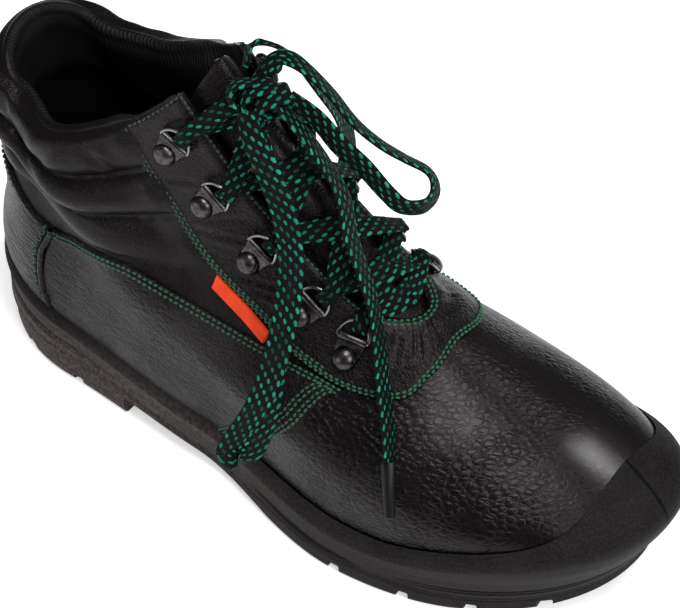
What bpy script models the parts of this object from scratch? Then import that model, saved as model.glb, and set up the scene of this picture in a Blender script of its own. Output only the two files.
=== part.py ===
"""High-top safety shoe for the right foot, standing on its sole.

X runs from heel to toe, Y from the outer side to the inner side, Z up.
Every curved piece is laid on one function of the last, upper_point(level, turn, out):
level counts the rows of GIRTHS from the sole to the collar, turn runs -1..1 round the
foot (0 at the heel, -1 and 1 on the ridge, negative on the outer side).
"""

import math
from collections import namedtuple

import bmesh
import bpy
from mathutils import Matrix, Vector

MM = 0.001

# Driving sizes
LENGTH = 304 * MM
BALL_WIDTH = 110 * MM
COLLAR_HEIGHT = 140 * MM
GAP = 0.3 * MM
LAID = 0.7 * MM
WALL = 2.2 * MM
PADDING = 5.0 * MM
PANEL = 1.3 * MM

# The girths were drawn at these sizes, in millimetres
DRAWN_LENGTH = 304.0
DRAWN_WIDTH = 110.0
DRAWN_HEIGHT = 140.0

# Sections of the upper, from the sole to the collar. Each is a loop round the foot,
# from back_x on the heel to front_x on the ridge, with its heights and half widths.
Girth = namedtuple(
    "Girth",
    "back_x back_z mid_z front_x front_z heel waist_out waist_in ball_out ball_in toe_from toe_power",
)
GIRTHS = {
    "feather": Girth(10, 36.5, 16.5, 285, 17, 36.5, 39, 35, 55.5, 43, 0.71, 2.05),
    "side": Girth(5.5, 46, 32, 296.5, 37, 39, 42, 37.5, 57, 44.5, 0.71, 2.1),
    "shoulder": Girth(6.5, 57.5, 46, 294.5, 48, 38.5, 42.5, 38.4, 55.5, 42.8, 0.70, 2.1),
    "toe_top": Girth(10, 69.5, 59, 269, 60, 37, 42.5, 38.4, 49.7, 39.8, 0.65, 2.1),
    "vamp": Girth(12.5, 81, 71, 232, 72.5, 35.5, 42, 38.4, 40, 35.5, 0.60, 2.1),
    "throat": Girth(13.5, 92.5, 81.5, 200.5, 86.5, 34.3, 41.5, 38, 35.5, 35.5, 0.50, 1.95),
    "instep": Girth(14, 103, 92.5, 172.5, 109, 32.5, 40.5, 36, 31, 34, 0.45, 1.95),
    "roll_low": Girth(14, 114, 104, 149, 133.5, 30.5, 38.5, 34.5, 28, 32, 0.44, 1.9),
    "roll_high": Girth(14, 125, 117, 131, 156.5, 28, 36, 32.5, 27, 32, 0.43, 1.85),
    "collar": Girth(14, 139.5, 131, 115.5, 174, 24, 33, 29.5, 28, 35, 0.42, 1.8),
}
ROWS = list(GIRTHS.values())
HEEL_ROUND = 0.17
WAIST_AT = 0.42
BALL_AT = 0.70
SWING = 15.0
SWING_FROM = 110.0

# Throat of the upper: where it starts on the ridge and how wide it is
THROAT_LEVEL = 5.15
THROAT_HALF = 12.5 * MM

# Rolls of the padded collar, one row each, and how far they swell
Roll = namedtuple("Roll", "low high swell")
ROLLS = (Roll(6.0, 7.0, 1.0 * MM), Roll(7.0, 8.0, 2.2 * MM), Roll(8.0, 9.0, 2.6 * MM))
PAD_FROM = 5.6
PAD_RISE = 1.4
PAD_EDGE = 0.52
PAD_FADE = 0.12
RIM_FROM = 8.6
RIM_THINNER = 0.55

SIDE_COLUMNS = 18
UPPER_LEVELS = (
    0, 0.4, 0.8, 1.2, 1.6, 2, 2.5, 3, 3.6, 4.2, 4.7, 5.15, 5.18, 5.27, 5.5, 5.8, 6.2, 6.6,
    7, 7.3, 7.7, 8, 8.3, 8.7, 8.9, 9,
)

# Sole: margin round the feather line, heights of the joint, toe spring
HEEL_MARGIN = 5.4 * MM
SIDE_MARGIN = 5.0 * MM
TOE_MARGIN = 6.4 * MM
HEEL_MARGIN_TO = 0.35
TOE_MARGIN_FROM = 0.7
SOLE_DRAFT = 0.4 * MM
HEEL_JOINT = 14.0
BALL_JOINT = 7.5
JOINT_FALL_FROM = 84.0
JOINT_FALL_TO = 150.0
JOINT_SPRING = 0.75
HEEL_BREAST = 88.0
SHANK_RISE = 10.0
SHANK_END = 178.0
ARCH_POWER = 1.6
SPRING_FROM = 232.0
TOE_SPRING = 12.0
LIP_LEVEL = 0.75
CAP_LEVEL = 2.55
CAP_FROM = 0.66
CAP_FULL = 0.93
CAP_SLOPE = 2.0
LIP_EDGE = 2.0 * MM
CAP_THICK = 4.4 * MM
SOCKET = LAID + 0.1 * MM
SOCKET_SHARES = (0.0, 0.17, 0.33, 0.5, 0.67, 0.83, 1.0)
Step = namedtuple("Step", "share keep")
LIP_STEPS = (Step(1.0, 0.0), Step(0.96, 0.45), Step(0.85, 0.72), Step(0.6, 0.92), Step(0.34, 1.0))
Rib = namedtuple("Rib", "share swell")
RIBS = (Rib(0.0, 0.0), Rib(0.22, 0.9 * MM), Rib(0.36, -0.2 * MM), Rib(0.52, 0.9 * MM), Rib(0.68, -0.2 * MM))
Tread = namedtuple("Tread", "inset share")
TREAD_EDGE = (Tread(0.4 * MM, 1.0), Tread(0.0, 0.75), Tread(0.5 * MM, 0.25), Tread(2.2 * MM, 0.0))
LUG_DEPTH = 4.5
LUG_GROOVE = 5.0
LUG_LENGTH = 34.0
LUG_INSET = 6.0 * MM
LUG_TURN = 10.0
GROOVES = (33, 61, 198, 226, 250, 272)

# Eyestay, from the collar down and round the front of the throat
Band = namedtuple("Band", "level_in half_in level_out half_out")
EYESTAY = (
    Band(8.97, 13.3, 8.95, 24.0),
    Band(8.2, 13.3, 8.2, 23.5),
    Band(7.15, 13.3, 7.15, 24.0),
    Band(6.2, 13.3, 6.15, 26.5),
    Band(5.66, 13.3, 5.25, 29.0),
    Band(5.42, 12.7, 4.55, 32.5),
    Band(5.26, 10.0, 4.14, 33.0),
    Band(5.17, 6.0, 4.08, 27.5),
    Band(5.135, 3.0, 4.4, 16.0),
    Band(5.125, 0.0, 4.66, 0.0),
)

# Side panels, heel counter and side tab, by level and turn
Seam = namedtuple("Seam", "turn level")
QUARTER_TOP = (
    Seam(0.302, 4.4),
    Seam(0.37, 5.1),
    Seam(0.43, 5.6),
    Seam(0.49, 5.7),
    Seam(0.545, 5.3),
    Seam(0.6, 4.85),
    Seam(0.65, 4.7),
)
QUARTER_FOOT = 0.47
COUNTER_EDGE = 0.288
COUNTER_BOW = 0.026
COUNTER_TOP = 5.7
COUNTER_DROP = 1.4
COUNTER_DROP_FROM = 0.16
COUNTER_COLUMNS = 6
PANEL_FOOT = 0.12
QUARTER_CLEAR = 0.022
TAB_LOW = 4.82
TAB_HIGH = 5.74
TAB_CLEAR = 0.004
TAB_WIDE = 0.034
TAB_THICK = 1.0 * MM

# Tongue and its label, by level and half width in millimetres
TONGUE_LOW = 4.75
TONGUE_HIGH = 9.2
TONGUE_HALF_LOW = 14.0
TONGUE_HALF_HIGH = 17.8
TONGUE_CORNER = 4.0
TONGUE_DIP = 1.2 * MM
TONGUE_THICK = 4.0 * MM
TONGUE_UNDER = WALL + 0.8 * MM
LABEL_LOW = 7.3
LABEL_HIGH = 7.9
LABEL_HALF = 11.0
LABEL_THICK = 0.8 * MM
INSOLE_LEVELS = (0.02, 0.24)
INSOLE_CLEAR = WALL + 0.5 * MM

# Rings: rivet on the eyestay and the point over the throat that the ring aims at
Ring = namedtuple("Ring", "level half aim_level aim_half")
RINGS = (
    Ring(8.2, 20.0, 8.55, 8),
    Ring(7.18, 20.3, 7.5, 8),
    Ring(6.22, 21.6, 6.7, 8),
    Ring(5.38, 23.4, 5.9, 8),
    Ring(4.7, 25.7, 5.5, 10),
)
RIVET_RADIUS = 4.5 * MM
RIVET_RISE = 2.6 * MM
CLIP_HALF = 4.2 * MM
CLIP_PLATE = 1.5 * MM
BAR_AT = 6.5 * MM
CURL_RADIUS = 1.9 * MM
HOLE_RADIUS = 1.15 * MM
WIRE_RADIUS = 0.8 * MM
RING_HALF = 5.5 * MM
RING_DEPTH = 8.0 * MM
RING_TILT = math.radians(6)

# Lace: bars over the throat, then the bow as paths in millimetres from the heel
LACE_RADIUS = 1.9 * MM
CORD_STEP = 9.5 * MM
BAR_HALF = 7.5
BAR_LIFT = 3.2 * MM
BAR_CORNER = 0.04
BAR_UNDER = 0.05
Place = namedtuple("Place", "x y z")
KNOT = Place(131.5, -4.5, 168)
KNOT_SIZE = Vector((8.5, 6.5, 5.5)) * MM
NEAR_LOOP = (
    Place(136, -14.5, 169.5), Place(142, -18.5, 163), Place(149, -19.5, 151.5), Place(156, -21, 138.5),
    Place(162, -25, 122.5), Place(166, -33.5, 104.5), Place(168, -43.5, 88.5), Place(166.5, -53, 71.5),
    Place(160, -62, 52), Place(162, -61, 46.5), Place(166.5, -56, 50), Place(168.5, -49.5, 69),
    Place(166, -41, 85), Place(164, -31, 101), Place(160, -22.5, 119), Place(154, -18.5, 135),
    Place(147, -17, 148), Place(140, -13.5, 161),
)
FAR_LOOP = (
    Place(130, 3.5, 171), Place(130, 9, 173.5), Place(133, 13, 173), Place(140, 14.5, 170),
    Place(150, 15, 164), Place(160, 15, 156), Place(169, 17.5, 149), Place(176, 22.5, 142),
    Place(183.5, 27, 136), Place(188, 25, 131), Place(188.5, 18, 129.5), Place(185, 10, 133.5),
    Place(180, 7, 139.5), Place(171, 6.5, 146.5), Place(162, 4, 154.5), Place(152, 3.5, 162.5),
    Place(142, 1, 168.5),
)
NEAR_END = (
    Place(142, -4.5, 169), Place(152, -4, 161), Place(160, -1, 147), Place(168, -2, 136),
    Place(174, -6.5, 126), Place(182, -10, 115), Place(189, -13, 104), Place(195, -18, 93),
    Place(203, -26, 81), Place(211, -34, 72), Place(216, -40.5, 64),
)
NEAR_AGLET = (Place(216.6, -41.2, 63), Place(224, -50.5, 48))
FAR_END = (
    Place(123, 1.5, 172), Place(118, 12, 172), Place(120, 26, 160), Place(129, 34, 140), Place(131, 44, 120),
    Place(130, 49, 100), Place(127, 50, 80), Place(124, 49, 66),
)
FAR_AGLET = (Place(123.8, 49, 65), Place(121, 48, 48))
AGLET_RADIUS = 1.5 * MM

PART_NAME = "high_top_safety_shoe"
CORDS = (
    "lace_knot", "lace_loop_near", "lace_loop_far", "lace_end_near", "lace_end_far", "aglet_near", "aglet_far",
)

COLOURS = {
    "leather": (0.018, 0.017, 0.018, 1.0),
    "lining": (0.012, 0.012, 0.012, 1.0),
    "rubber": (0.022, 0.020, 0.019, 1.0),
    "metal": (0.16, 0.15, 0.15, 1.0),
    "lace": (0.012, 0.035, 0.026, 1.0),
    "red": (0.72, 0.07, 0.02, 1.0),
    "tip": (0.02, 0.02, 0.022, 1.0),
}


def ease(q):
    q = min(max(q, 0.0), 1.0)
    return q * q * (3 - 2 * q)


def mix(a, b, q):
    return a + (b - a) * q


def spline(f, a, b, c, d):
    """Catmull-Rom between b and c."""
    return 0.5 * (2 * b + f * (c - a) + f * f * (2 * a - 5 * b + 4 * c - d) + f**3 * (3 * b - a - 3 * c + d))


def table_at(table, v):
    """A row of a table at a fractional index, eased between its rows."""
    last = len(table) - 1
    i = min(max(int(math.floor(v)), 0), last - 1)
    four = [table[min(max(i + k, 0), last)] for k in (-1, 0, 1, 2)]
    return type(table[0])(*[spline(v - i, *values) for values in zip(*four)])


def girth(v):
    return table_at(ROWS, min(max(v, -0.5), len(ROWS) - 0.5))


def share_of(turn):
    """Share of a section's length at a turn: points crowd at the heel and on the ridge."""
    return (1 - math.cos(math.pi * abs(turn))) / 2


def half_width(row, inner, p):
    """Half width of a section at share p of its length, on the inner or outer side."""
    waist = row.waist_in if inner else row.waist_out
    ball = row.ball_in if inner else row.ball_out
    if p < WAIST_AT:
        width = mix(row.heel, waist, ease((p - HEEL_ROUND) / (WAIST_AT - HEEL_ROUND)))
    else:
        width = mix(waist, ball, ease((p - WAIST_AT) / (BALL_AT - WAIST_AT)))
    back = min(max(1 - p / HEEL_ROUND, 0.0), 1.0)
    front = min(max((p - row.toe_from) / (1 - row.toe_from), 0.0), 1.0)
    return width * math.sqrt(1 - back**2) * (1 - front**row.toe_power) ** (1 / row.toe_power)


def placed(x, y, z):
    """A point given in drawn millimetres from the heel, at the driving sizes in metres."""
    return Vector((
        (x / DRAWN_LENGTH - 0.5) * LENGTH,
        y / DRAWN_WIDTH * BALL_WIDTH,
        z / DRAWN_HEIGHT * COLLAR_HEIGHT,
    ))


def station(point):
    """Distance of a point from the back of the heel, in drawn millimetres."""
    return (point.x / LENGTH + 0.5) * DRAWN_LENGTH


def base_point(level, turn):
    if turn > 1:
        turn -= 2
    if turn < -1:
        turn += 2
    row = girth(level)
    p = share_of(turn)
    x = mix(row.back_x, row.front_x, p)
    z = row.back_z * (1 - p) * (1 - 2 * p) + 4 * row.mid_z * p * (1 - p) + row.front_z * p * (2 * p - 1)
    swing = SWING * ease((x - SWING_FROM) / (DRAWN_LENGTH - SWING_FROM))
    return placed(x, swing + math.copysign(half_width(row, turn > 0, p), turn), z)


def upper_normal(level, turn):
    along = base_point(level, turn + 0.004) - base_point(level, turn - 0.004)
    up = base_point(level + 0.02, turn) - base_point(level - 0.02, turn)
    return up.cross(along).normalized()


def upper_point(level, turn, out=0.0):
    return base_point(level, turn) + upper_normal(level, turn) * out


def turn_at(level, half, side):
    """Turn near the ridge, on one side, where a section is this half width in millimetres."""
    row = girth(level)
    low, high = 0.5, 1.0
    for _ in range(30):
        middle = (low + high) / 2
        if half_width(row, side > 0, share_of(middle)) > half:
            low = middle
        else:
            high = middle
    return side * (low + high) / 2


def throat_half(level):
    """Half width of the throat opening, in millimetres: round at its front end."""
    run = (base_point(level, 1) - base_point(THROAT_LEVEL, 1)).length
    back = 1 - min(run / THROAT_HALF, 1.0)
    return THROAT_HALF / MM * math.sqrt(1 - back**2)


def padded(level, turn):
    """1 where the collar is fully padded, 0 under the eyestay and on the foot."""
    return ease((level - PAD_FROM) / PAD_RISE) * (1 - ease((abs(turn) - PAD_EDGE) / PAD_FADE))


def roll_swell(level, turn):
    for roll in ROLLS:
        if roll.low < level < roll.high:
            wave = math.sin(math.pi * (level - roll.low) / (roll.high - roll.low))
            return roll.swell * wave * (1 - ease((abs(turn) - PAD_EDGE) / PAD_FADE))
    return 0.0


def wall_at(level, turn):
    rim = 1 - RIM_THINNER * ease((level - RIM_FROM) / (len(ROWS) - 1 - RIM_FROM))
    return WALL + PADDING * padded(level, turn) * rim


def clear_scene():
    for old in list(bpy.data.objects):
        bpy.data.objects.remove(old, do_unlink=True)


def collection(name):
    made = bpy.data.collections.new(name)
    bpy.context.scene.collection.children.link(made)
    return made


def material(name):
    made = bpy.data.materials.new(name)
    made.use_nodes = True
    shader = made.node_tree.nodes["Principled BSDF"]
    shader.inputs["Base Color"].default_value = COLOURS[name]
    shader.inputs["Metallic"].default_value = 1.0 if name == "metal" else 0.0
    shader.inputs["Roughness"].default_value = 0.35 if name == "metal" else 0.6
    made.diffuse_color = COLOURS[name]
    return made


class Shop:
    """Adds finished meshes to the part's collection, each with its own material."""

    def __init__(self):
        self.parts = collection(PART_NAME)
        self.cutters = collection("cutters")
        self.materials = {}

    def add(self, name, data, slot):
        thing = bpy.data.objects.new(name, data)
        self.parts.objects.link(thing)
        paint = material(slot) if slot not in self.materials else self.materials[slot]
        self.materials[slot] = paint
        data.materials.clear()
        data.materials.append(paint)
        return thing

    def add_cutter(self, name, data):
        thing = bpy.data.objects.new(name, data)
        self.cutters.objects.link(thing)
        thing.hide_render = True
        thing.display_type = "WIRE"
        return thing


def mesh_of(name, points, faces):
    """A closed mesh with its faces turned outward."""
    data = bpy.data.meshes.new(name)
    data.from_pydata([tuple(p) for p in points], [], faces)
    build = bmesh.new()
    build.from_mesh(data)
    bmesh.ops.remove_doubles(build, verts=build.verts, dist=1e-6)
    bmesh.ops.recalc_face_normals(build, faces=build.faces)
    build.to_mesh(data)
    build.free()
    return data


def grid_faces(first, rows, columns, wrap):
    """Quads of a grid of points numbered row by row from first."""
    faces = []
    for r in range(rows - 1):
        for c in range(columns if wrap else columns - 1):
            d = (c + 1) % columns
            low = first + r * columns
            faces.append((low + c, low + d, low + columns + d, low + columns + c))
    return faces


def patch(name, rows, columns, point, low, high):
    """A panel laid on the upper: a grid of point(row, column, out) closed between two offsets."""
    points = [point(r / (rows - 1), c / (columns - 1), out) for out in (low, high)
              for r in range(rows) for c in range(columns)]
    size = rows * columns
    faces = grid_faces(0, rows, columns, False) + grid_faces(size, rows, columns, False)
    edge = list(range(columns))
    edge += [r * columns + columns - 1 for r in range(1, rows)]
    edge += [(rows - 1) * columns + c for c in range(columns - 2, -1, -1)]
    edge += [r * columns for r in range(rows - 2, 0, -1)]
    for i, a in enumerate(edge):
        b = edge[(i + 1) % len(edge)]
        faces.append((a, b, b + size, a + size))
    return mesh_of(name, points, faces)


def ring_turns():
    return [-1 + i / SIDE_COLUMNS for i in range(2 * SIDE_COLUMNS)]


def loft(name, rings):
    """Rings from floor to floor round the whole foot, closed across at both ends."""
    count = len(rings[0])
    points = [p for ring in rings for p in ring]
    faces = grid_faces(0, len(rings), count, True)
    for first in (0, (len(rings) - 1) * count):
        for i in range(count // 2):
            a, b = i, i + 1
            across = [first + k % count for k in (a, b, count - b, count - a)]
            faces.append(tuple(dict.fromkeys(across)))
    return mesh_of(name, points, faces)


def upper_mesh():
    columns = 2 * SIDE_COLUMNS + 1
    rows = len(UPPER_LEVELS)
    points = []
    for inside in (False, True):
        for level in UPPER_LEVELS:
            for i in range(columns):
                side = -1 if i < SIDE_COLUMNS else 1
                share = abs(i - SIDE_COLUMNS) / SIDE_COLUMNS
                edge = 1.0
                if level > THROAT_LEVEL:
                    edge = abs(turn_at(level, throat_half(level), side))
                turn = side * share * (1 - (1 - edge) * share**4)
                out = roll_swell(level, turn)
                points.append(upper_point(level, turn, out - wall_at(level, turn) if inside else out))
    size = rows * columns
    faces = grid_faces(0, rows, columns, False) + grid_faces(size, rows, columns, False)
    for c in range(columns - 1):
        for low in (c, (rows - 1) * columns + c):
            faces.append((low, low + 1, low + 1 + size, low + size))
    start = UPPER_LEVELS.index(THROAT_LEVEL)
    for r in range(start, rows - 1):
        for low in (r * columns, r * columns + columns - 1):
            faces.append((low, low + columns, low + columns + size, low + size))
    return mesh_of("upper", points, faces)


def lip_level(turn):
    """Level of the sole's upper edge: along the side, and up over the toe as the bumper."""
    rise = ease((abs(turn) - CAP_FROM) / (CAP_FULL - CAP_FROM))
    return mix(LIP_LEVEL, CAP_LEVEL - CAP_SLOPE * (1 - abs(turn)) * rise, rise)


def margin(turn):
    heel = 1 - ease(abs(turn) / HEEL_MARGIN_TO)
    toe = ease((abs(turn) - TOE_MARGIN_FROM) / (1 - TOE_MARGIN_FROM))
    return SIDE_MARGIN + (HEEL_MARGIN - SIDE_MARGIN) * heel + (TOE_MARGIN - SIDE_MARGIN) * toe


def sole_point(turn, out):
    """A point beside the feather line, that far out in plan."""
    away = upper_normal(0, turn)
    away.z = 0
    return base_point(0, turn) + away.normalized() * out


def tread_z(x):
    rise = max(x - SPRING_FROM, 0) / (DRAWN_LENGTH - SPRING_FROM)
    return TOE_SPRING * rise**ARCH_POWER * MM


def joint_z(x):
    """Height of the joint between the midsole and the outsole."""
    heel = 1 - ease((x - JOINT_FALL_FROM) / (JOINT_FALL_TO - JOINT_FALL_FROM))
    return mix(BALL_JOINT, HEEL_JOINT, heel) * MM + JOINT_SPRING * tread_z(x)


def midsole_mesh():
    turns = ring_turns()
    rings = []
    for share in SOCKET_SHARES:
        ring = [upper_point(lip_level(a) * share, a, SOCKET) for a in turns]
        if share == 0.0:
            ring = [p - Vector((0, 0, GAP)) for p in ring]
        rings.append(ring)
    cap = [ease((abs(a) - CAP_FROM) / (CAP_FULL - CAP_FROM)) for a in turns]
    for step in LIP_STEPS:
        ring = []
        for a, c in zip(turns, cap):
            body = mix(margin(a), CAP_THICK, c)
            ring.append(upper_point(lip_level(a) * step.share, a, mix(LIP_EDGE, body, step.keep)))
        rings.append(ring)
    top = rings[-1]
    for rib in reversed(RIBS):
        ring = []
        for a, high in zip(turns, top):
            low = sole_point(a, margin(a) - SOLE_DRAFT)
            low.z = joint_z(station(low))
            away = upper_normal(0, a)
            away.z = 0
            ring.append(low.lerp(high, rib.share) + away.normalized() * rib.swell)
        rings.append(ring)
    return loft("midsole", rings)


def outsole_mesh():
    rings = []
    for edge in TREAD_EDGE:
        ring = []
        for a in ring_turns():
            p = sole_point(a, margin(a) - edge.inset)
            x = station(p)
            p.z = mix(tread_z(x), joint_z(x) - GAP, edge.share)
            ring.append(p)
        rings.append(ring)
    return loft("outsole", rings)


def box_points(size):
    """Corners of a box about its middle, and its faces."""
    corners = [Vector((x, y, z)) for z in (-1, 1) for y in (-1, 1) for x in (-1, 1)]
    faces = [(0, 1, 3, 2), (4, 6, 7, 5), (0, 4, 5, 1), (2, 3, 7, 6), (0, 2, 6, 4), (1, 5, 7, 3)]
    return [Vector(c * s / 2 for c, s in zip(corner, size)) for corner in corners], faces


def tread_cutter():
    """Grooves from both edges of the tread, one mesh of separate boxes."""
    size = Vector((LUG_GROOVE, LUG_LENGTH, 2 * LUG_DEPTH)) * MM
    points, faces = [], []
    for x in GROOVES:
        for side in (-1, 1):
            corners, quads = box_points(size)
            edge = placed(x, 0, 0)
            swing = SWING * ease((x - SWING_FROM) / (DRAWN_LENGTH - SWING_FROM)) * MM
            reach = outline_half(x, side > 0)
            lie = Matrix.Rotation(math.radians(-LUG_TURN * side), 4, "Z")
            middle = Vector((edge.x, swing + side * (reach - LUG_INSET), tread_z(x)))
            faces += [tuple(len(points) + k for k in quad) for quad in quads]
            points += [lie @ c + middle for c in corners]
    return mesh_of("tread_cutter", points, faces)


def outline_half(x, inner):
    row = ROWS[0]
    p = min(max((x - row.back_x) / (row.front_x - row.back_x), 0.0), 1.0)
    return half_width(row, inner, p) * MM


def prism(name, outline, half):
    """An outline in X and Z, in drawn millimetres, pulled out along Y."""
    points = [placed(x, 0, z) + Vector((0, y, 0)) for y in (-half, half) for x, z in outline]
    count = len(outline)
    faces = [tuple(range(count)), tuple(range(2 * count - 1, count - 1, -1))]
    for i in range(count):
        j = (i + 1) % count
        faces.append((i, j, j + count, i + count))
    return mesh_of(name, points, faces)


def arch_cutter():
    """Clears the shank between the heel breast and the ball."""
    outline = [(HEEL_BREAST, -2)]
    for i in range(8):
        q = i / 7
        outline.append((mix(HEEL_BREAST + 2, SHANK_END, q), SHANK_RISE * (1 - q**ARCH_POWER)))
    outline.append((SHANK_END + 4, -2))
    return prism("arch_cutter", outline, 80 * MM)


def cut(thing, cutter):
    modifier = thing.modifiers.new(cutter.name, "BOOLEAN")
    modifier.operation = "DIFFERENCE"
    modifier.solver = "EXACT"
    modifier.object = cutter


def insole_mesh():
    rings = []
    for level in INSOLE_LEVELS:
        rings.append([upper_point(level, a, -INSOLE_CLEAR) for a in ring_turns()])
    return loft("insole", rings)


def from_ridge(level, across, out):
    """A point by its level and its half width from the ridge, in millimetres, negative on the outer side."""
    if abs(across) < 0.05:
        return upper_point(level, 1.0, out)
    return upper_point(level, turn_at(level, abs(across), -1 if across < 0 else 1), out)


def tongue_point(r, c, out):
    level = mix(TONGUE_LOW, TONGUE_HIGH, r)
    half = mix(TONGUE_HALF_LOW, TONGUE_HALF_HIGH, ease(r * 2)) - TONGUE_CORNER * ease((r - 0.9) / 0.1)
    return from_ridge(level, mix(-half, half, c), out - TONGUE_DIP * ease((r - 0.6) / 0.3))


def label_point(r, c, out):
    return from_ridge(mix(LABEL_LOW, LABEL_HIGH, r), mix(-LABEL_HALF, LABEL_HALF, c), out)


def eyestay_point(r, c, out):
    """r runs along the band from the outer collar round the throat to the inner collar."""
    last = len(EYESTAY) - 1
    side = -1 if r < 0.5 else 1
    band = table_at(EYESTAY, last * (1 - abs(2 * r - 1)))
    level = mix(band.level_in, band.level_out, c)
    half = max(mix(band.half_in, band.half_out, c), 0.0)
    return from_ridge(level, side * half, out)


def eyestay_turn(level, side):
    """Turn of the eyestay's outer edge at a level."""
    low, high = 0.0, 6.0
    for _ in range(24):
        middle = (low + high) / 2
        if table_at(EYESTAY, middle).level_out > level:
            low = middle
        else:
            high = middle
    return abs(turn_at(level, table_at(EYESTAY, low).half_out, side))


def seam_level(turn):
    """Upper seam of the side panel, from the counter to the eyestay."""
    for a, b in zip(QUARTER_TOP, QUARTER_TOP[1:]):
        if turn <= b.turn:
            return mix(a.level, b.level, ease((turn - a.turn) / (b.turn - a.turn)))
    return QUARTER_TOP[-1].level


def counter_edge(r):
    """Turn of the counter's front edge, which bows back at half height."""
    return COUNTER_EDGE - COUNTER_BOW * math.sin(math.pi * r)


def quarter_point(side):
    def point(r, c, out):
        top = QUARTER_TOP[-1]
        front = min(mix(QUARTER_FOOT, top.turn, r), eyestay_turn(mix(1, top.level, r), side) - QUARTER_CLEAR)
        rear = counter_edge(r) + QUARTER_TOP[0].turn - COUNTER_EDGE
        turn = mix(rear, front, c)
        level = mix(lip_level(turn) + PANEL_FOOT, seam_level(turn), r)
        return upper_point(level, side * turn, out)

    return point


def counter_point(r, c, out):
    column = mix(-COUNTER_COLUMNS, COUNTER_COLUMNS, c)
    turn = min(abs(column) / SIDE_COLUMNS, counter_edge(r))
    fall = ease((turn - COUNTER_DROP_FROM) / (COUNTER_EDGE - COUNTER_DROP_FROM))
    top = COUNTER_TOP - COUNTER_DROP * fall
    return upper_point(mix(lip_level(turn) + PANEL_FOOT, top, r), math.copysign(turn, column), out)


def tab_point(r, c, out):
    """A tab along the rear edge of the eyestay, on the outer side."""
    level = mix(TAB_LOW, TAB_HIGH, r)
    front = eyestay_turn(level, -1) - TAB_CLEAR
    return upper_point(level, -mix(front - TAB_WIDE, front, c), out)


def solid_of(thing):
    """The finished mesh of an object with its modifiers, its doubles merged."""
    graph = bpy.context.evaluated_depsgraph_get()
    data = bpy.data.meshes.new_from_object(thing.evaluated_get(graph))
    build = bmesh.new()
    build.from_mesh(data)
    bmesh.ops.remove_doubles(build, verts=build.verts, dist=2e-6)
    bmesh.ops.recalc_face_normals(build, faces=build.faces)
    build.to_mesh(data)
    build.free()
    return data


def tube_curve(name, places, radius, cyclic=False, resolution=2):
    """A cord or a wire along a path."""
    curve = bpy.data.curves.new(name, "CURVE")
    curve.dimensions = "3D"
    curve.bevel_depth = radius
    curve.bevel_resolution = resolution
    curve.use_fill_caps = True
    line = curve.splines.new("POLY")
    line.points.add(len(places) - 1)
    for point, place in zip(line.points, places):
        point.co = (*place, 1.0)
    line.use_cyclic_u = cyclic
    return curve


def tube_mesh(name, places, radius, cyclic=False):
    """The same as a solid that can be joined."""
    thing = bpy.data.objects.new(name, tube_curve(name, places, radius, cyclic, resolution=1))
    bpy.context.scene.collection.objects.link(thing)
    data = solid_of(thing)
    bpy.data.objects.remove(thing)
    return data


def smooth_path(places):
    """Evenly spaced points of an eased path through the rows of a table."""
    fine = [placed(*table_at(places, i / 12)) for i in range((len(places) - 1) * 12 + 1)]
    run = [0.0]
    for a, b in zip(fine, fine[1:]):
        run.append(run[-1] + (b - a).length)
    count = max(round(run[-1] / CORD_STEP), 2)
    picked = []
    for i in range(count + 1):
        k = min(range(len(fine)), key=lambda j: abs(run[j] - run[-1] * i / count))
        picked.append(fine[k])
    return picked


def joined(name, meshes):
    """One solid out of several that cross."""
    things = []
    for i, data in enumerate(meshes):
        thing = bpy.data.objects.new(name + str(i), data)
        bpy.context.scene.collection.objects.link(thing)
        things.append(thing)
    for other in things[1:]:
        modifier = things[0].modifiers.new("join", "BOOLEAN")
        modifier.operation = "UNION"
        modifier.solver = "EXACT"
        modifier.object = other
    data = solid_of(things[0])
    data.name = name
    for thing in things:
        bpy.data.objects.remove(thing)
    return data


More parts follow.
